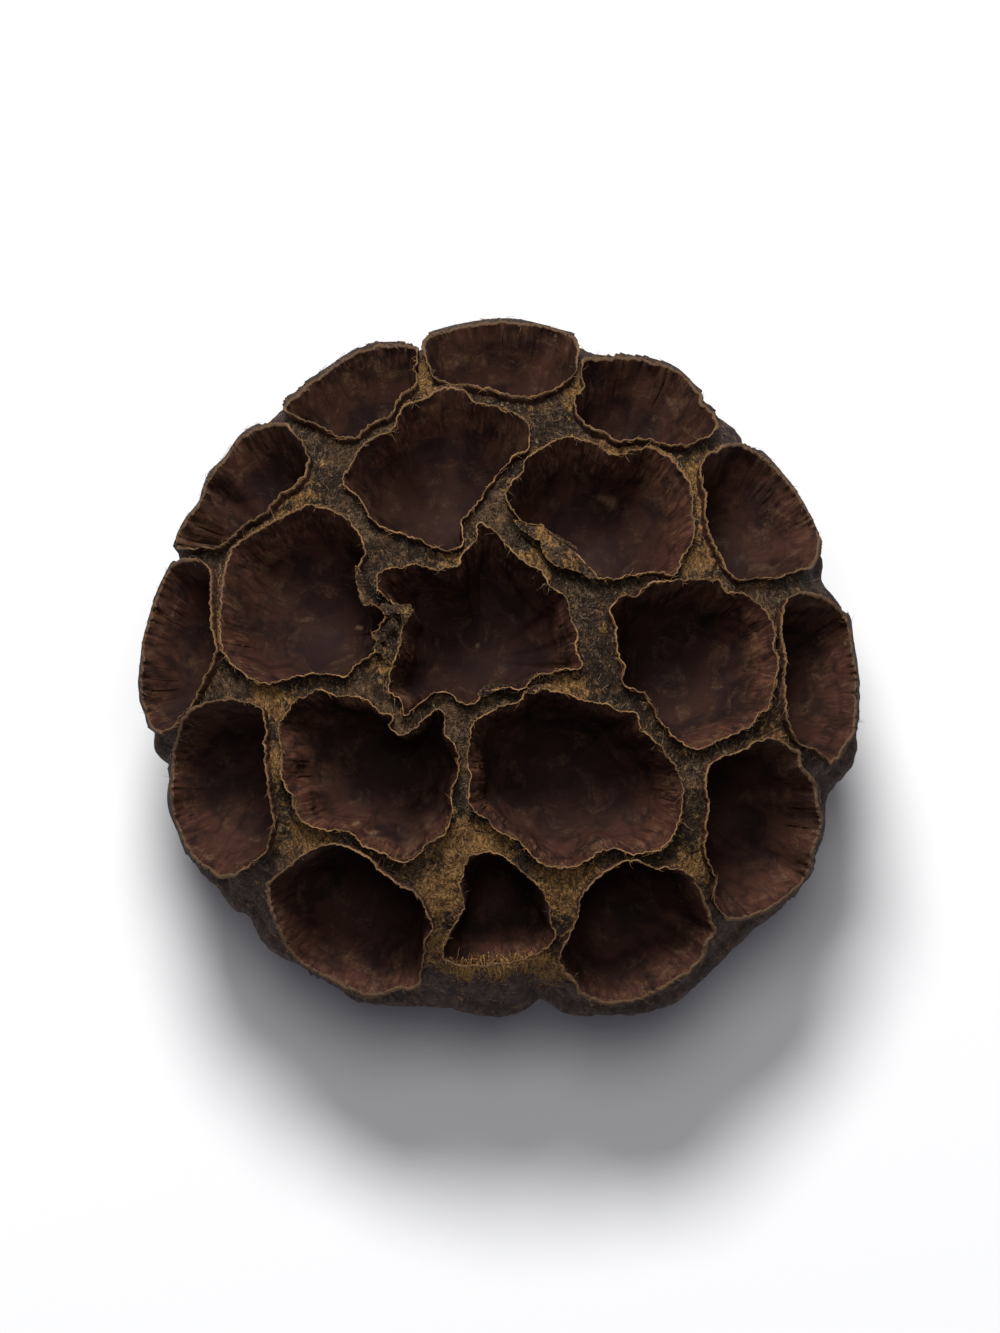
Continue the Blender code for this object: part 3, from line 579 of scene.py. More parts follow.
def place_piece(piece, material):
    """Gives a piece its material and fixes it to the pod, in place of the plain solid."""
    piece.data.materials.clear()
    piece.data.materials.append(material)
    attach(piece, "root")
    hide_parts("pod")


def cut(solid, tools):
    """Cuts the tools from the solid in one step, and removes them."""
    collection = bpy.data.collections.new("cutters")
    for tool in tools:
        collection.objects.link(tool)
    modifier = solid.modifiers.new("Cut", "BOOLEAN")
    modifier.operation = "DIFFERENCE"
    modifier.operand_type = "COLLECTION"
    modifier.collection = collection
    modifier.solver = "MANIFOLD"
    graph = bpy.context.evaluated_depsgraph_get()
    data = bpy.data.meshes.new_from_object(solid.evaluated_get(graph))
    solid.modifiers.remove(modifier)
    solid.data = data
    for tool in tools:
        bpy.data.objects.remove(tool)
    bpy.data.collections.remove(collection)


def lining_rows(socket, form):
    """Rows of one lining from its floor up the pleated wall, over the lip and down the back."""
    thickness = form.lip_thickness / MM
    place = np.column_stack([socket.drawn, np.full(socket.count, 11.3 + socket.number)])
    lift = 0.12 * noise_of(place, 0.45) + 0.14 * noise_of(place, 1.7) + 0.16 * noise_of(place, 3.9)
    torn = np.clip(noise_of(place, 0.6, 21.0) - 0.25, 0.0, None) * (0.5 + noise_of(place, 2.3, 2.0))
    lift -= 1.4 * np.clip(torn, 0.0, None) + breaks_at(socket.drawn)
    wall = thickness * (0.6 + 0.45 * noise_of(place, 1.1, 14.0) + 1.6 * socket.at_rim)
    top = -lift / socket.depth
    layers = {"wall": [], "lip": [], "stain": [], "soft": [], "spot": [], "crease": []}
    rows = []

    def add(points, depth, lip, crease=0.0):
        rows.append(raised(points))
        layers["wall"].append(np.column_stack([socket.around, np.broadcast_to(depth, socket.count)]))
        layers["lip"].append(np.broadcast_to(lip, socket.count))
        layers["stain"].append(socket.stain)
        layers["soft"].append(np.full(socket.count, socket.soft))
        layers["spot"].append(spots_at(drawn_from(points)))
        # The torn creases join the painted shade of the fold grooves
        split = np.exp(-((line_distances(drawn_from(points), CREASES) / 0.3) ** 2))
        layers["crease"].append(np.maximum(split, np.broadcast_to(crease, socket.count)))

    turns = np.arange(LINING_ROWS) / LINING_ROWS
    steps = np.append(np.sin(math.pi / 2.0 * turns**1.35) ** 0.77, 0.2 / socket.depth)
    for step in sorted(steps, reverse=True):
        shares = mixed(top, 1.0, step)
        depth = (shares - top) * socket.depth
        inwards, crease = pleats(socket, depth)
        points = socket.wall(shares, -inwards * form.pleat_depth / MM)
        add(points, depth, np.exp(-((depth / 0.18) ** 2)), crease)
    edge = socket.wall(top) + socket.normals * (0.08 + 0.25 * (wall - thickness).clip(0.0))[:, None]
    for share in (0.3, 0.75):
        add(edge + socket.out * (wall * share)[:, None], 0.0, 1.0)
    for step in np.linspace(0.0, 1.0, LINING_BACK_ROWS) ** 1.6 * 0.97:
        shares = mixed(top, 1.0, step)
        swell = mixed(wall, np.minimum(wall, thickness), smooth_step(step * socket.depth, 0.4, 2.5))
        swell = swell + BACK_SWELL * smooth_step(step * socket.depth, *SWELL_DEPTHS)
        add(socket.wall(shares, swell), step * socket.depth, np.exp(-step * socket.depth / 0.22))
    return rows, {key: np.array(values) for key, values in layers.items()}


def pleats(socket, depth):
    """How far the dried lining's folds stand into the socket, and how much shade is painted in their
    grooves.
    """
    depth = np.broadcast_to(depth, socket.count)
    around = socket.around + 8.3 * socket.number
    slow = np.column_stack([around, depth * 0.12])
    wander = 0.7 * noise_of(np.column_stack([around, depth]), 0.33, 31.0)
    fast = np.column_stack([around + wander[:, None], depth * 0.3])
    broad = noise_of(slow, 0.2)
    crossing = np.abs(noise_of(fast, 0.6, 3.0))
    fold = np.clip(1.0 - crossing * 3.0, 0.0, 1.0)
    wrinkle = np.clip(1.0 - np.abs(noise_of(fast, 1.35, 8.0)) * 3.2, 0.0, 1.0)
    rise = np.clip(depth / 3.0, 0.0, 1.0)
    fade = (1.0 - smooth_step(depth, 5.0, 10.0)) * (1.0 - 0.55 * socket.soft)
    soft = noise_of(np.column_stack([around, depth]), 0.24, 40.0)
    inwards = rise * (0.9 + 0.5 * soft + broad)
    inwards -= rise**0.5 * (0.5 * fold**1.5 + 0.45 * wrinkle**2) * np.exp(-depth / 6.0)
    # Painted shade along the fold grooves, fading out deep in the socket
    groove_shade = np.clip(1.0 - crossing * 5.0, 0.0, 1.0)
    groove_shade *= np.clip(0.6 + noise_of(fast, 0.3, 60.0) * 1.6, 0.0, 1.0) * smooth_step(depth, 0.1, 1.0)
    reach = depth + 5.0 * noise_of(fast, 0.4, 90.0)
    return fade * np.clip(inwards, 0.0, None), groove_shade * (1.0 - smooth_step(reach, 8.5, 15.0))


def smooth_step(values, low, high):
    """0 below low and 1 above high, with a smooth change between them."""
    share = np.clip((values - low) / (high - low), 0.0, 1.0)
    return share * share * (3.0 - 2.0 * share)


def hole_cutter(socket, thickness):
    """The hole in the flesh for one lining: it runs in the middle of the lining's wall."""
    middle = thickness * 0.5
    every = slice(None, None, HOLE_COLUMN_STEP)
    rows = [(socket.wall(0.0, middle) + socket.normals * 3.0)[every]]
    for step in np.linspace(0.0, 1.0, HOLE_ROWS):
        share = math.sin(math.pi / 2.0 * step) ** 0.9 * 0.985
        swell = middle + HOLE_SWELL * smooth_step(share * socket.depth, *SWELL_DEPTHS)
        rows.append(socket.wall(share, swell)[every])
    rows = [raised(row) for row in rows]
    above = raised(socket.middle - socket.down * 6.0)
    below = raised(socket.floor(middle + HOLE_SWELL))
    return loft(f"hole_{socket.name}", rows, above, below)


def mouth_distances(points):
    """How far points measured from the rim's middle are from the nearest mouth."""
    ring = np.vstack([socket.mouth for socket in sockets()])
    tree = KDTree(len(ring))
    for number, point in enumerate(ring.tolist()):
        tree.insert(point, number)
    tree.balance()
    return np.array([tree.find(point)[2] for point in points.tolist()])


def inside_mouths(points):
    """Which points of the face lie within a mouth, as drawn."""
    drawn = drawn_from(points)
    inside = np.zeros(len(drawn), bool)
    for socket in sockets():
        low, high = socket.drawn.min(0), socket.drawn.max(0)
        near = np.where(((drawn > low) & (drawn < high)).all(1) & (points[:, 2] > -2.0))[0]
        across, up = drawn[near].T
        crossings = np.zeros(len(near), int)
        starts, ends = socket.drawn, np.roll(socket.drawn, -1, 0)
        for (x0, y0), (x1, y1) in zip(starts, ends):
            if y0 != y1:
                spans = (y0 > up) != (y1 > up)
                crossings += spans & (across < (x1 - x0) * (up - y0) / (y1 - y0) + x0)
        inside[near] |= crossings % 2 == 1
    return inside


def flesh_rows():
    """Rows of the flesh, from the top of the dome over the rim and down to the stalk."""
    azimuths = np.arange(FLESH_COLUMNS) / FLESH_COLUMNS * math.tau
    round_ = np.column_stack([np.cos(azimuths), np.sin(azimuths)])
    base = []
    for slope in np.radians(np.linspace(DOME_TOP_SLOPE, 0.0, DOME_ROWS)):
        height = (FACE_RISE - LIP_HEIGHT) * math.sin(slope)
        radius = (face_radius(azimuths, height) - LIP_HEIGHT) * math.cos(slope)
        base.append(np.column_stack([round_ * radius[:, None], np.full(FLESH_COLUMNS, height)]))
    shares, heights = np.array(UNDERSIDE).T
    lengths = np.hypot(np.diff(shares) * MEAN_RIM_RADIUS, np.diff(heights))
    run = np.concatenate([[0.0], np.cumsum(lengths)])
    for station in np.linspace(0.0, run[-1], UNDERSIDE_ROWS)[1:]:
        share = smooth_interpolation(station, run, shares)
        height = smooth_interpolation(station, run, heights)
        radius = share * (mixed(MEAN_RIM_RADIUS, rim_radius(azimuths), share**2) - LIP_HEIGHT)
        strength = RIB_DEPTH * min(1.0, 4.0 * (1.0 - share)) * share
        place = np.column_stack([round_ * 2.0, np.full(FLESH_COLUMNS, height * 0.1)])
        wander = 0.6 * noise_of(place, 1.0)
        radius += strength * np.cos(RIBS * (azimuths + 0.12 * wander)) * (0.8 + 0.6 * wander)
        below = np.full(FLESH_COLUMNS, height - RIM_HEIGHT)
        base.append(np.column_stack([round_ * radius[:, None], below]))
    return np.array(base)


def smooth_interpolation(station, run, values):
    """A value read between stations without corners, by a curve through them all."""
    k = int(np.clip(np.searchsorted(run, station) - 1, 0, len(run) - 2))
    t = (station - run[k]) / (run[k + 1] - run[k])
    slopes = np.gradient(values, run)
    span = run[k + 1] - run[k]
    t2, t3 = t * t, t * t * t
    return (
        (2 * t3 - 3 * t2 + 1) * values[k]
        + (t3 - 2 * t2 + t) * span * slopes[k]
        + (3 * t2 - 2 * t3) * values[k + 1]
        + (t3 - t2) * span * slopes[k + 1]
    )


def grid_normals(grid):
    """Outward normals of the flesh's rows and columns of points."""
    down = np.gradient(grid, axis=0)
    along = np.roll(grid, -1, 1) - np.roll(grid, 1, 1)
    return unit(np.cross(down, along))


def flesh_relief(points, form):
    """How far the flesh stands out at each point: up to the lips, and felted between them."""
    distance = mouth_distances(points)
    distance[inside_mouths(points)] = 0.0
    drawn = drawn_from(points)
    height = (LIP_HEIGHT - 0.14) * np.exp(-((distance / 0.5) ** 1.2))
    top = np.exp(-np.clip(-points[:, 2], 0.0, None))
    sunk = form.web_depth / MM * (1.0 - np.exp(-distance / 0.9)) * top
    lumps = 0.20 * noise_of(points, 0.33) + 0.24 * noise_of(points, 0.9) + 0.17 * noise_of(points, 2.1)
    lumps += 0.22 * np.clip(noise_of(points, 0.55, 17.0), 0.0, 1.0)
    side = np.clip(-points[:, 2] / 3.0, 0.0, 1.0)
    folds = noise_of(points * np.array([1.0, 1.0, 0.22]), 0.28, 4.0) * 0.5
    folds += noise_of(points * np.array([1.0, 1.0, 0.15]), 0.9, 6.0) * 0.16
    relief = height - sunk + lumps * np.clip(distance / 0.5, 0.15, 1.0) + folds * 0.2
    frayed = np.exp(-((line_distances(drawn, (FRINGE,)) / 0.8) ** 2))
    relief += frayed * (0.35 + 0.6 * noise_of(points, 1.6, 70.0))
    relief -= 0.6 * np.exp(-((line_distances(drawn, CRACKS) / 0.3) ** 2)) + breaks_at(drawn)
    outer = np.clip(WALL_COVER + lumps * 0.5 + folds * 0.6, LEAST_COVER, None)
    return mixed(relief, height - sunk + outer, side)


def line_distances(drawn, lines):
    """How far drawn points are from the nearest of some lines."""
    nearest = np.full(len(drawn), 99.0)
    for line in lines:
        for start, end in zip(np.array(line[:-1]), np.array(line[1:])):
            along = end - start
            share = np.clip((drawn - start) @ along / (along @ along), 0.0, 1.0)
            foot = start + share[:, None] * along
            nearest = np.minimum(nearest, np.linalg.norm(drawn - foot, axis=1))
    return nearest


def patch_strengths(drawn):
    """How golden the flesh is rubbed at drawn points."""
    strength = np.zeros(len(drawn))
    for place, reach, most in OCHRE_PATCHES:
        distance = np.linalg.norm(drawn - np.array(place), axis=1)
        strength = np.maximum(strength, most * np.exp(-((distance / reach) ** 2)))
    return strength


def write_attribute(data, name, values):
    layer = data.attributes.new(name, "FLOAT", "POINT")
    layer.data.foreach_set("value", np.asarray(values, np.float32))


def paint_flesh(data):
    """Writes how near each point is to a lip, how golden it is, how much shade is painted along its
    cracks and how far down the side.
    """
    points = np.zeros(len(data.vertices) * 3)
    data.vertices.foreach_get("co", points)
    points = points.reshape(-1, 3) / MM - np.array([0.0, 0.0, RIM_HEIGHT])
    distance, drawn = mouth_distances(points), drawn_from(points)
    far = np.linalg.norm(drawn, axis=1)
    at_rim = smooth_step(far, 38.5, 42.5)
    write_attribute(data, "near_lip", np.exp(-distance / (0.22 + 0.5 * at_rim)))
    gold = patch_strengths(drawn) + (0.08 + 0.32 * smooth_step(far, 14.0, 28.0)) * np.exp(-distance / 0.7)
    write_attribute(data, "gold", np.where(points[:, 2] > -12.0, gold, 0.0))
    # Painted shade along the cracks of the flesh
    write_attribute(data, "crack_shade", np.exp(-((line_distances(drawn, CRACKS) / 0.4) ** 2)))
    apart = np.clip((distance - 0.8) / 2.4, 0.0, 1.0)
    steep = np.clip((16.0 - points[:, 2]) / 12.0, 0.0, 1.0)
    write_attribute(data, "side", apart * steep)


def torn_plate(name, height, outline):
    """A thin, creased plate torn from a lip, with a ragged edge."""
    edge = closed_curve(outline, spacing=PLATE_SPACING)
    place = np.column_stack([edge, np.zeros(len(edge))])
    ragged = [
        0.16 * noise_of(place, 2.0, shift) + 0.12 * noise_of(place, 4.7, shift)
        for shift in (3.0, 33.0)
    ]
    edge = edge + np.column_stack(ragged)
    middle = edge.mean(0)
    rows, layers = [], {"near_lip": [], "gold": []}
    for share, under in PLATE_ROWS:
        drawn = mixed(middle, edge, share)
        points = on_face(drawn)
        place = np.column_stack([drawn, np.zeros(len(drawn))])
        crease = 0.22 * noise_of(place, 0.9, 13.0) + 0.1 * noise_of(place, 2.6, 43.0)
        lift = height + crease - PLATE_THICKNESS * under
        rows.append(raised(points + face_normals(points) * lift[:, None]))
        layers["near_lip"].append(np.full(len(drawn), 1.0 if share == 1.0 else 0.0))
        layers["gold"].append(patch_strengths(drawn))
    tips = rows[0].mean(0), rows[-1].mean(0)
    plate = loft(name, rows, *tips, {key: np.array(values) for key, values in layers.items()})
    plate.data.set_sharp_from_angle(angle=SMOOTH_ANGLE)
    return plate


def loose_fibres():
    """Short fibres that stand from the lips and lie on the felt between them."""
    draw = np.random.default_rng(FIBRE_SEED)
    mesh = bmesh.new()
    edge = mesh.verts.layers.float.new("edge")
    for socket in sockets():
        for i in draw.integers(0, socket.count, int(socket.count * LIP_FIBRES)):
            if socket.at_rim[i] > 0.4:
                continue
            along = socket.mouth[i] - socket.mouth[i - 1]
            way = unit(along) * draw.choice((-1.0, 1.0)) + socket.out[i] * draw.normal(0.1, 0.5)
            way = unit(way + socket.normals[i] * draw.normal(0.15, 0.3))
            root = socket.mouth[i] + socket.out[i] * 0.12 - socket.normals[i] * draw.uniform(0.0, 0.3)
            root = root - breaks_at(socket.drawn[i][None]) * socket.normals[i]
            fibre(mesh, root, way, draw.gamma(2.5, 0.22))
    ends = np.array(FRINGE)
    shares = draw.uniform(0.0, 1.0, (FRINGE_FIBRES, 1))
    places = mixed(ends[0], ends[1], shares) + draw.normal(0.0, 0.45, (FRINGE_FIBRES, 2))
    points = on_face(places)
    normals = face_normals(points)
    for point, normal in zip(points, normals):
        down_slope = np.array([draw.normal(0.0, 0.3), -normal[2], normal[1]])
        down_slope = unit(down_slope * draw.choice((-1.0, 1.0)))
        root = point - normal * draw.uniform(0.4, 1.0)
        fibre(mesh, root, unit(down_slope + normal * 0.4), draw.gamma(3.0, 0.32), FIBRE_RADIUS * 2.0)
    for vertex in mesh.verts:
        vertex[edge] = 1.0
    flesh = bpy.data.objects["flesh"].data
    foot = np.array([0.0, 0.0, RIM_HEIGHT])
    up = [(np.array(vertex.co) / MM - foot, np.array(vertex.normal)) for vertex in flesh.vertices]
    up = [pair for pair in up if pair[0][2] > 2.0 and np.linalg.norm(pair[0] / FACE_SIZE) > 0.93]
    for i in draw.integers(0, len(up), FELT_FIBRES):
        root, normal = up[i]
        way = unit(np.cross(normal, draw.normal(size=3)) + normal * draw.uniform(0.0, 0.35))
        fibre(mesh, root, way, draw.gamma(3.0, 0.25))
    long_edges = [e for e in mesh.edges if e.calc_length() > 0.25 * MM]
    bmesh.ops.subdivide_edges(mesh, edges=long_edges, cuts=2)
    noise.seed_set(FIBRE_SEED)
    for vertex in mesh.verts:
        vertex.co += noise.noise_vector(vertex.co / MM * 0.9) * FIBRE_BEND * MM
    return finished("loose_fibres", mesh)


def fibre(mesh, root, way, length, radius=FIBRE_RADIUS):
    """One slender three-sided fibre."""
    middle = Vector(raised(root + way * length * 0.45) * MM)
    turn = Vector(way).to_track_quat("Z", "X").to_matrix().to_4x4()
    bmesh.ops.create_cone(
        mesh, cap_ends=True, segments=3, radius1=radius * MM, radius2=radius * 0.2 * MM,
        depth=length * MM, matrix=Matrix.Translation(middle) @ turn,
    )


def air_canal(number):
    """One blind air canal in the cut end of the stalk."""
    azimuth = math.tau * number / CANALS
    middle = np.array([math.cos(azimuth), math.sin(azimuth), 0.0]) * CANAL_RING_RADIUS
    turn = np.arange(24) / 24 * math.tau
    reach = CANAL_RADIUS * (1.0 + 0.12 * np.cos(2.0 * turn + number))
    ring = middle + np.column_stack([np.cos(turn) * reach, np.sin(turn) * reach, np.zeros(24)])
    rows = [ring + np.array([0.0, 0.0, height]) for height in (-1.0, CANAL_DEPTH)]
    tips = [middle + np.array([0.0, 0.0, height]) for height in (-2.0, CANAL_DEPTH + 1.0)]
    return loft(f"canal_{number}", rows, *tips)


class Sum:
    """A shader value that Python's operators add Math nodes to."""

    def __init__(self, shader, socket):
        self.shader, self.socket = shader, socket

    def maths(self, operation, *values, clamp=False):
        values = [value.socket if isinstance(value, Sum) else value for value in values]
        settings = {"operation": operation, "use_clamp": clamp}
        return self.shader.value("ShaderNodeMath", settings, dict(enumerate(values)))

    def __add__(self, other):
        return self.maths("ADD", self, other)

    def __sub__(self, other):
        return self.maths("SUBTRACT", self, other)

    def __rsub__(self, other):
        return self.maths("SUBTRACT", other, self)

    def __mul__(self, other):
        return self.maths("MULTIPLY", self, other)

    __radd__ = __add__
    __rmul__ = __mul__

    def apart_from(self, other):
        return self.maths("ABSOLUTE", self - other)

    def clamped(self):
        return self.maths("ADD", self, 0.0, clamp=True)

    def between(self, low, high):
        """0 below low and 1 above high, with a smooth change between them."""
        settings = {"interpolation_type": "SMOOTHSTEP"}
        inputs = {"Value": self.socket, "From Min": low, "From Max": high}
        return self.shader.value("ShaderNodeMapRange", settings, inputs)


class Shader:
    """A procedural material under a Principled shader."""

    def __init__(self, name, **constants):
        self.material = bpy.data.materials.new(name)
        self.material.use_nodes = True
        self.tree = self.material.node_tree
        self.surface = self.tree.nodes["Principled BSDF"]
        for key, value in constants.items():
            self.surface.inputs[key.replace("_", " ").title().replace("Ior", "IOR")].default_value = value

    def node(self, kind, settings=None, inputs=None):
        """Adds a node, with its settings made before its sockets are given values or links."""
        node = self.tree.nodes.new(kind)
        for key, value in (settings or {}).items():
            setattr(node, key, value)
        for key, value in (inputs or {}).items():
            value = value.socket if isinstance(value, Sum) else value
            if isinstance(value, bpy.types.NodeSocket):
                self.tree.links.new(value, node.inputs[key])
            else:
                node.inputs[key].default_value = value
        return node

    def value(self, kind, settings=None, inputs=None, output=0):
        return Sum(self, self.node(kind, settings, inputs).outputs[output])

    def vector(self, operation, first, second=(0.0, 0.0, 0.0), scale=1.0):
        settings = {"operation": operation}
        inputs = {0: first, "Scale": scale} if operation == "SCALE" else {0: first, 1: second}
        return self.node("ShaderNodeVectorMath", settings, inputs).outputs[0]

    def noise(self, vector, scale, detail=3.0, roughness=0.55, distortion=0.0):
        inputs = {
            "Vector": vector, "Scale": scale, "Detail": detail, "Roughness": roughness,
            "Distortion": distortion,
        }
        return self.value("ShaderNodeTexNoise", None, inputs)

    def mix(self, first, second, share):
        settings = {"data_type": "RGBA"}
        inputs = {0: share, 6: colour_of(first), 7: colour_of(second)}
        return self.node("ShaderNodeMix", settings, inputs).outputs[2]

    def attribute(self, name, output="Fac"):
        return Sum(self, self.node("ShaderNodeAttribute", {"attribute_name": name}).outputs[output])

    def millimetres(self):
        """Object coordinates, in millimetres."""
        place = self.node("ShaderNodeTexCoord").outputs["Object"]
        return self.vector("SCALE", place, scale=1000.0)

    def part_of(self, vector, axis):
        return Sum(self, self.node("ShaderNodeSeparateXYZ", None, {0: vector}).outputs[axis])

    def bump(self, height, distance, strength=1.0):
        inputs = {"Height": height, "Distance": distance, "Strength": strength}
        return self.node("ShaderNodeBump", None, inputs).outputs[0]

    def finish(self, colour, roughness, normal):
        self.tree.links.new(colour, self.surface.inputs["Base Color"])
        self.tree.links.new(roughness.socket, self.surface.inputs["Roughness"])
        self.tree.links.new(normal, self.surface.inputs["Normal"])
        return self.material


def colour_of(value):
    """A plain colour with its alpha, or a socket as it is."""
    return value if isinstance(value, bpy.types.NodeSocket) else (*value, 1.0)


def lining_finish(colours):
    """The thin inner skin of a socket: wine brown, streaked down its folds, with a straw edge, and
    painted shade towards its floor and in its fold grooves.
    """
    shader = Shader("socket_lining", specular_ior_level=0.06)
    wall = shader.attribute("wall", "Vector").socket
    depth = shader.part_of(wall, 2)
    streaked = shader.vector("MULTIPLY", wall, (1.0, 1.0, 0.16))
    spot = shader.millimetres()
    broad = shader.noise(streaked, 0.35, 3.0, 0.55, 0.6)
    fine = shader.noise(streaked, 1.9, 5.0, 0.62, 0.7)
    fibre = shader.noise(streaked, 6.0, 3.0, 0.6, 0.4)
    mottle = shader.noise(spot, 0.22, 5.0, 0.6, 0.3)
    grain = shader.noise(spot, 3.2, 4.0, 0.65)
    soft = shader.attribute("soft")
    ragged = depth + shader.noise(streaked, 0.5, 2.0, 0.5) * 7.0
    near = (1.0 - ragged.between(5.5, 12.5)) * (1.0 - soft * 0.4)
    colour = shader.mix(colours.lining_stain_and_shade, colours.lining_mid, mottle.between(0.36, 0.58))
    streaks = (broad.between(0.42, 0.62) * near * 0.9).clamped()
    colour = shader.mix(colour, colours.lining_mid, streaks)
    light = (fine.between(0.46, 0.70) * near * 0.85).clamped()
    colour = shader.mix(colour, colours.lining_light, light)
    colour = shader.mix(colour, colours.lining_stain_and_shade, (fibre.between(0.52, 0.78) * near * 0.6).clamped())
    # Painted shade: the wall is darkened towards the socket's floor, and the outer sockets are darkened a
    # little all over
    deep = depth.between(4.0, 16.0) * (0.8 - soft * 0.4) + soft * 0.25
    colour = shader.mix(colour, colours.lining_stain_and_shade, deep.clamped())
    cloud = shader.noise(spot, 0.3, 5.0, 0.68, 0.5)
    tan = cloud.between(0.50, 0.68) * grain.between(0.30, 0.60)
    tan = tan * (0.75 - depth.between(3.0, 12.0) * 0.42)
    colour = shader.mix(colour, colours.lining_tan, tan.clamped())
    stained = shader.noise(spot, 0.16, 4.0, 0.6, 0.8)
    colour = shader.mix(colour, colours.lining_stain_and_shade, (stained.between(0.50, 0.66) * 0.6).clamped())
    spots = shader.attribute("spot") * grain.between(0.25, 0.5)
    colour = shader.mix(colour, colours.lining_spot, spots.clamped())
    # Painted shade in the grooves between the folds and along the torn creases
    creases = shader.attribute("crease") * 0.68
    colour = shader.mix(colour, colours.lining_crease_shade, creases.clamped())
    edge = (shader.attribute("lip") * 1.5 + grain * 1.6 - 1.5).between(0.0, 0.45)
    worn = shader.noise(spot, 0.3, 4.0, 0.65)
    worn = worn.between(0.42, 0.58) * 0.8 + grain.between(0.45, 0.6) * 0.4
    straw = shader.mix(colours.lip_straw, colours.lip_tan, worn.clamped())
    # Lips are made darker towards the rim
    straw = shader.mix(straw, colours.lip_at_rim, (shader.attribute("stain") * 0.95).clamped())
    colour = shader.mix(colour, straw, edge)
    height = (fine * 0.6 + fibre * 0.25) * near + grain * 0.35
    return shader.finish(colour, 0.6 + 0.3 * grain, shader.bump(height, 0.0002, 0.8))


def flesh_finish(colours):
    """The pod's skin: grey-brown felt between the lips, rubbed golden in places, painted shade along its
    cracks, and a dark side lightened as painted light from the pale surroundings.
    """
    shader = Shader("felted_flesh", specular_ior_level=0.12)
    spot = shader.millimetres()
    height = shader.part_of(spot, 2)
    warp = shader.noise(spot, 0.8, 2.0)
    felt = shader.noise(spot, 0.8, 4.0, 0.66, 1.5)
    hairs = shader.noise(shader.vector("MULTIPLY", spot, (1.0, 0.35, 1.0)), 1.5, 4.0, 0.62, 1.8)
    blot = shader.noise(spot, 0.36, 4.0, 0.62, 0.5)
    speck = shader.noise(spot, 0.9, 3.0, 0.66, 0.6)
    clump = shader.noise(spot, 0.7, 3.0, 0.66, 0.8)
    colour = shader.mix(colours.felt_dark_and_crack_shade, colours.felt_light, felt.between(0.40, 0.60))
    colour = shader.mix(colour, colours.felt_dark_and_crack_shade, (clump.between(0.50, 0.62) * 0.85).clamped())
    colour = shader.mix(colour, colours.felt_warm, (blot.between(0.40, 0.56) * 0.7).clamped())
    lines = 1.0 - shader.noise(spot, 0.9, 5.0, 0.6, 2.0).apart_from(0.5).between(0.0, 0.028)
    colour = shader.mix(colour, colours.felt_dark_and_crack_shade, (lines * 0.8).clamped())
    broad = shader.noise(spot, 0.24, 4.0, 0.6, 0.4)
    colour = shader.mix(colour, colours.felt_dark_and_crack_shade, (broad.between(0.44, 0.55) * 0.8).clamped())
    colour = shader.mix(colour, colours.felt_pale, (hairs.between(0.54, 0.72) * 0.55).clamped())
    near = (shader.attribute("near_lip") * 1.3 + felt * 1.6 - 1.15).between(0.0, 0.6)
    colour = shader.mix(colour, colours.lip_tan, (near * 0.8).clamped())
    drawn_out = shader.noise(shader.vector("MULTIPLY", spot, (1.0, 1.0, 0.25)), 0.9, 5.0, 0.62, 0.6)
    # The outer wall's own purple-brown, made paler as painted light from the pale surroundings on the
    # shaded side
    side = shader.mix(colours.side_dark, colours.side_light, drawn_out.between(0.36, 0.68))
    side = shader.mix(side, colours.felt_light, (speck.between(0.60, 0.78) * 0.35).clamped())
    outer = (shader.attribute("side") * 1.5 + warp * 0.5 - 0.35).clamped()
    colour = shader.mix(colour, side, outer)
    golden = shader.attribute("gold") + shader.attribute("near_lip") * 0.3
    rubbed = (golden * 1.1 + speck * 2.8 - 1.55).between(0.15, 0.4)
    gold = shader.mix(colours.gold_dark, colours.gold_light, hairs.between(0.36, 0.62))
    colour = shader.mix(colour, gold, (rubbed * 0.92).clamped())
    # Painted shade along the cracks of the flesh
    colour = shader.mix(colour, colours.felt_dark_and_crack_shade, (shader.attribute("crack_shade") * 0.9).clamped())
    cut_end = 1.0 - height.between(0.05, 0.35)
    pith = shader.noise(spot, 1.6, 4.0, 0.6).between(0.35, 0.65)
    colour = shader.mix(colour, shader.mix(colours.pith_dark, colours.pith_light, pith), cut_end)
    relief = felt * 0.8 + hairs * 0.35 + clump * 1.2 - lines * 0.3
    return shader.finish(colour, 0.75 + 0.2 * felt, shader.bump(relief, 0.0007))


def fibre_finish(colours):
    """Loose fibres: pale on the felt, and straw where they are frayed from a lip."""
    shader = Shader("loose_fibres", specular_ior_level=0.15)
    strands = shader.noise(shader.millimetres(), 1.4, 3.0, 0.6)
    colour = shader.mix(colours.felt_light, colours.felt_pale, strands.between(0.4, 0.6))
    colour = shader.mix(colour, colours.gold_light, shader.attribute("edge"))
    return shader.finish(colour, 0.75 + 0.2 * strands, shader.bump(strands, 0.0001, 0.5))


class LotusForm(bpy.types.PropertyGroup):
    """Sizes that change how weathered the pod looks."""

    lip_thickness: bpy.props.FloatProperty(
        name="Lip thickness", description="How thick the papery lip of a socket is",
        default=0.00026, min=0.0001, unit="LENGTH", subtype="DISTANCE",
    )
    lip_ripple: bpy.props.FloatProperty(
        name="Lip ripple", description="How far a lip strays from its smooth outline",
        default=0.00042, min=0.0, unit="LENGTH", subtype="DISTANCE",
    )
    pleat_depth: bpy.props.FloatProperty(
        name="Pleat depth", description="How deep the folds of the dried lining are",
        default=0.00042, min=0.0, unit="LENGTH", subtype="DISTANCE",
    )
    web_depth: bpy.props.FloatProperty(
        name="Web depth", description="How far the felt sinks between the lips",
        default=0.0010, min=0.0, unit="LENGTH", subtype="DISTANCE",
    )


def colour_setting(name, description, default):
    return bpy.props.FloatVectorProperty(
        name=name, description=description, default=default, subtype="COLOR", size=3, min=0.0, max=1.0
    )


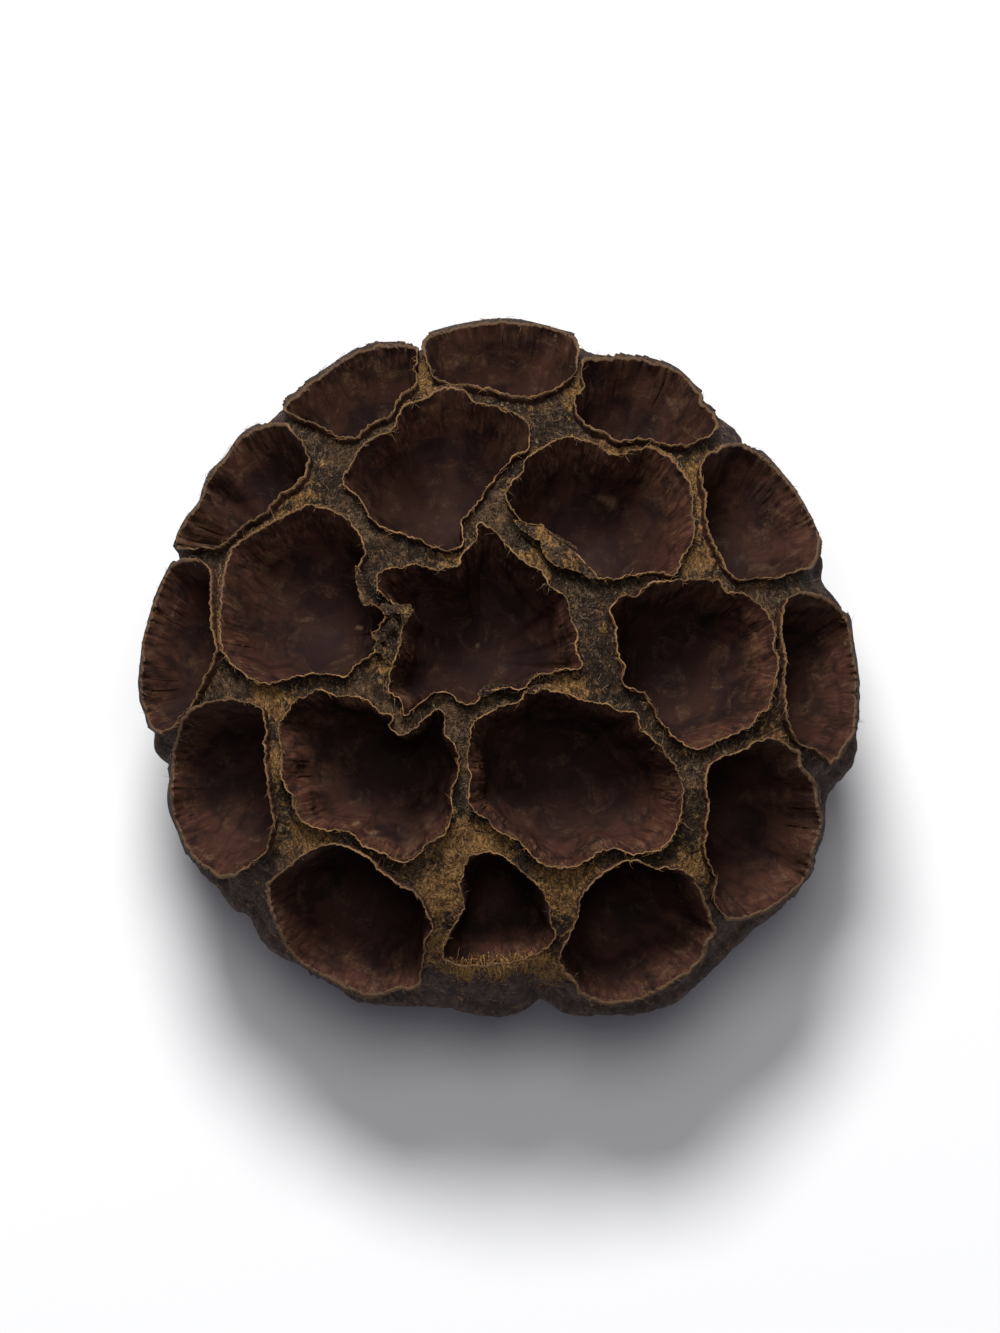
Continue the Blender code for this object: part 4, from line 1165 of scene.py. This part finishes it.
class LotusColours(bpy.types.PropertyGroup):
    """The pod's colours, from the sockets outwards."""

    # Dark lining colour: old stains of the wall, and also the painted shade deep in each socket
    lining_stain_and_shade: colour_setting(
        "Lining, dark", "Old, stained places of the wall", (0.020, 0.0105, 0.0092),
    )
    lining_mid: colour_setting("Lining, middle", "Most of the wall", (0.070, 0.028, 0.018))
    lining_light: colour_setting("Lining, light", "The backs of the folds", (0.180, 0.080, 0.044))
    lining_tan: colour_setting("Lining, tan", "Dry, mottled places", (0.150, 0.085, 0.048))
    lining_spot: colour_setting("Lining, flecks", "Pale flecks and scars", (0.260, 0.160, 0.095))
    # Painted shade: the colour of the grooves between the folds and of the torn creases
    lining_crease_shade: colour_setting(
        "Lining, creases", "The grooves between the folds", (0.014, 0.0070, 0.0060),
    )
    # Lip colour towards the rim: darker than the bare edge
    lip_at_rim: colour_setting("Lip, stained", "The lips round the rim", (0.105, 0.062, 0.036))
    lip_straw: colour_setting("Lip edge", "The bare edge of a lip", (0.330, 0.185, 0.078))
    lip_tan: colour_setting("Lip foot", "The felt beside a lip", (0.130, 0.074, 0.036))
    # Dark felt colour: darker felt, and also the painted shade in the flesh's cracks
    felt_dark_and_crack_shade: colour_setting("Felt, dark", "Sunken felt between the lips", (0.019, 0.012, 0.008))
    felt_light: colour_setting("Felt, light", "Most of the felt", (0.108, 0.070, 0.043))
    felt_warm: colour_setting("Felt, warm", "Browner patches of the felt", (0.110, 0.060, 0.030))
    felt_pale: colour_setting("Felt, pale", "Stray pale hairs of the felt", (0.340, 0.235, 0.140))
    gold_dark: colour_setting("Gold, dark", "The grooves of rubbed felt", (0.075, 0.040, 0.017))
    gold_light: colour_setting("Gold, light", "Rubbed felt", (0.320, 0.170, 0.058))
    # Both side colours: the outer wall's own tone, made paler to paint in light falling on the shaded
    # side
    side_dark: colour_setting("Side, dark", "The folds of the outer wall", (0.045, 0.028, 0.025))
    side_light: colour_setting("Side, light", "The outer wall", (0.105, 0.068, 0.058))
    pith_dark: colour_setting("Pith, dark", "Stains of the cut end", (0.090, 0.060, 0.036))
    pith_light: colour_setting("Pith, light", "The cut end", (0.230, 0.170, 0.105))


class LotusStage(bpy.types.PropertyGroup):
    """The light and the camera's distance."""

    key_power: bpy.props.FloatProperty(
        name="Key light", description="Power of the large soft light beyond the pod",
        default=17.0, unit="POWER",
    )
    fill_power: bpy.props.FloatProperty(
        name="Fill light", description="Power of the soft light overhead",
        default=4.5, unit="POWER",
    )
    sky: bpy.props.FloatProperty(
        name="Sky", description="Strength of the light from all round", default=0.12,
    )
    camera_distance: bpy.props.FloatProperty(
        name="Camera distance", description="From the face to the camera", default=2.0,
        unit="LENGTH", subtype="DISTANCE",
    )


class LOTUS_OT_linings(bpy.types.Operator):
    """Make the thin, pleated lining and lip of every seed socket"""

    bl_idname = "lotus.linings"
    bl_label = "Socket linings"

    def execute(self, context):
        form = context.scene.lotus_form
        material = lining_finish(context.scene.lotus_colours)
        for socket in sockets():
            rows, layers = lining_rows(socket, form)
            thickness = form.lip_thickness / MM
            floors = raised(socket.floor()), raised(socket.floor(thickness + BACK_SWELL))
            lining = loft(f"lining_{socket.name}", rows, *floors, layers)
            place_piece(lining, material)
        return {"FINISHED"}


class LOTUS_OT_flesh(bpy.types.Operator):
    """Make the felted flesh between the sockets, the lobed side, the underside and the cut end"""

    bl_idname = "lotus.flesh"
    bl_label = "Flesh"

    def execute(self, context):
        form = context.scene.lotus_form
        grid = flesh_rows()
        normals = grid_normals(grid)
        relief = flesh_relief(grid.reshape(-1, 3), form).reshape(grid.shape[:2])
        relief *= np.clip((grid[:, :, 2] + RIM_HEIGHT - 1.2) / 3.0, 0.0, 1.0)
        grid = grid + normals * relief[:, :, None]
        rows = list(raised(grid))
        azimuths = np.arange(FLESH_COLUMNS) / FLESH_COLUMNS * math.tau
        level = np.column_stack([np.cos(azimuths), np.sin(azimuths), np.zeros(FLESH_COLUMNS)])
        for radius, height in CUT_END_ROWS:
            ragged = radius + 0.12 * noise_of(level, 4.0)
            rows.append(level * ragged[:, None] + np.array([0.0, 0.0, height]))
        flesh = loft("flesh", rows, rows[0].mean(0), np.zeros(3))
        holes = [hole_cutter(socket, form.lip_thickness / MM) for socket in sockets()]
        holes += [air_canal(number) for number in range(CANALS)]
        cut(flesh, holes)
        if len(flesh.data.polygons) < FLESH_COLUMNS:
            raise RuntimeError("the flesh was lost when its sockets were cut")
        paint_flesh(flesh.data)
        flesh.data.shade_smooth()
        flesh.data.set_sharp_from_angle(angle=SMOOTH_ANGLE)
        place_piece(flesh, flesh_finish(context.scene.lotus_colours))
        return {"FINISHED"}


class LOTUS_OT_torn(bpy.types.Operator):
    """Make the torn strips that hang from the broken lips, and the loose fibres of the felt"""

    bl_idname = "lotus.torn"
    bl_label = "Torn strips and fibres"

    def execute(self, context):
        felt = bpy.data.objects["flesh"].data.materials[0]
        for name, (height, outline) in PLATES.items():
            place_piece(torn_plate(name, height, outline), felt)
        place_piece(loose_fibres(), fibre_finish(context.scene.lotus_colours))
        return {"FINISHED"}


class LOTUS_OT_stage(bpy.types.Operator):
    """Set out the pale floor, the soft lights and the camera at the photograph's angle"""

    bl_idname = "lotus.stage"
    bl_label = "Stage"

    def execute(self, context):
        scene = context.scene
        stage = scene.lotus_stage
        mesh = bmesh.new()
        bmesh.ops.create_grid(mesh, x_segments=1, y_segments=1, size=FLOOR_HALF_WIDTH)
        floor = finished("floor", mesh)
        shader = Shader("pale_floor", roughness=0.9)
        shader.surface.inputs["Base Color"].default_value = colour_of((FLOOR_GREY,) * 3)
        floor.data.materials.append(shader.material)
        soft_light("key_light", stage.key_power, *KEY_LIGHT)
        soft_light("fill_light", stage.fill_power, *FILL_LIGHT)
        world = bpy.data.worlds.new("studio")
        world.use_nodes = True
        background = world.node_tree.nodes["Background"]
        background.inputs["Color"].default_value = colour_of(SKY_COLOUR)
        background.inputs["Strength"].default_value = stage.sky
        scene.world = world
        scene.view_settings.view_transform = "Standard"
        place_camera(scene, stage.camera_distance)
        return {"FINISHED"}


# The picture is this many points across and high, at this many to the millimetre.
# The drawing's middle is at this point of it, from the left and from the top.
PICTURE = (1000, 1333)
POINTS_PER_MM = 8.0
DRAWING_MIDDLE = (500.0, 668.0)
SENSOR = 36.0


def place_camera(scene, distance):
    """Looks along the line of sight, with a long lens, so that drawn sizes come out true."""
    data = bpy.data.cameras.new("camera")
    data.sensor_fit = "VERTICAL"
    data.sensor_height = SENSOR
    data.lens = SENSOR * distance / (PICTURE[1] / POINTS_PER_MM * MM)
    data.clip_end = distance * 4.0
    camera = bpy.data.objects.new("camera", data)
    scene.collection.objects.link(camera)
    sin, cos = math.sin(SIGHT_TILT), math.cos(SIGHT_TILT)
    to_eye, up = Vector((0.0, -sin, cos)), Vector((0.0, cos, sin))
    across = (PICTURE[0] / 2.0 - DRAWING_MIDDLE[0]) / POINTS_PER_MM * MM
    above = (DRAWING_MIDDLE[1] - PICTURE[1] / 2.0) / POINTS_PER_MM * MM
    middle = Vector((across, 0.0, RIM_HEIGHT * MM)) + up * above
    camera.location = middle + to_eye * (distance + FACE_RISE * MM / 2.0)
    camera.rotation_euler = (SIGHT_TILT, 0.0, 0.0)
    scene.camera = camera


def soft_light(name, power, size, place):
    data = bpy.data.lights.new(name, "AREA")
    data.shape = "DISK"
    data.size = size
    data.energy = power
    light = bpy.data.objects.new(name, data)
    bpy.context.scene.collection.objects.link(light)
    light.location = place
    towards = Vector((0.0, 0.0, RIM_HEIGHT * MM)) - light.location
    light.rotation_euler = towards.to_track_quat("-Z", "Y").to_euler()


class LOTUS_PT_sidebar(bpy.types.Panel):
    """Lists the pod's pieces and settings"""

    bl_idname = "LOTUS_PT_sidebar"
    bl_label = "Dried lotus pod"
    bl_space_type = "VIEW_3D"
    bl_region_type = "UI"
    bl_category = "Lotus Pod"

    def draw(self, context):
        for operator in OPERATORS:
            self.layout.operator(operator.bl_idname)
        for name, group in SETTINGS.items():
            for key in group.__annotations__:
                self.layout.prop(getattr(context.scene, name), key)


SETTINGS = {"lotus_form": LotusForm, "lotus_colours": LotusColours, "lotus_stage": LotusStage}
OPERATORS = (LOTUS_OT_linings, LOTUS_OT_flesh, LOTUS_OT_torn, LOTUS_OT_stage)


def register():
    for group in (*SETTINGS.values(), *OPERATORS, LOTUS_PT_sidebar):
        bpy.utils.register_class(group)
    for name, group in SETTINGS.items():
        setattr(bpy.types.Scene, name, bpy.props.PointerProperty(type=group))


def unregister():
    for name in SETTINGS:
        delattr(bpy.types.Scene, name)
    for group in (LOTUS_PT_sidebar, *reversed(OPERATORS), *SETTINGS.values()):
        bpy.utils.unregister_class(group)


def main():
    register()
    bpy.ops.lotus.stage()
    bpy.ops.lotus.linings()
    bpy.ops.lotus.flesh()
    bpy.ops.lotus.torn()


if __name__ == "__main__":
    main()
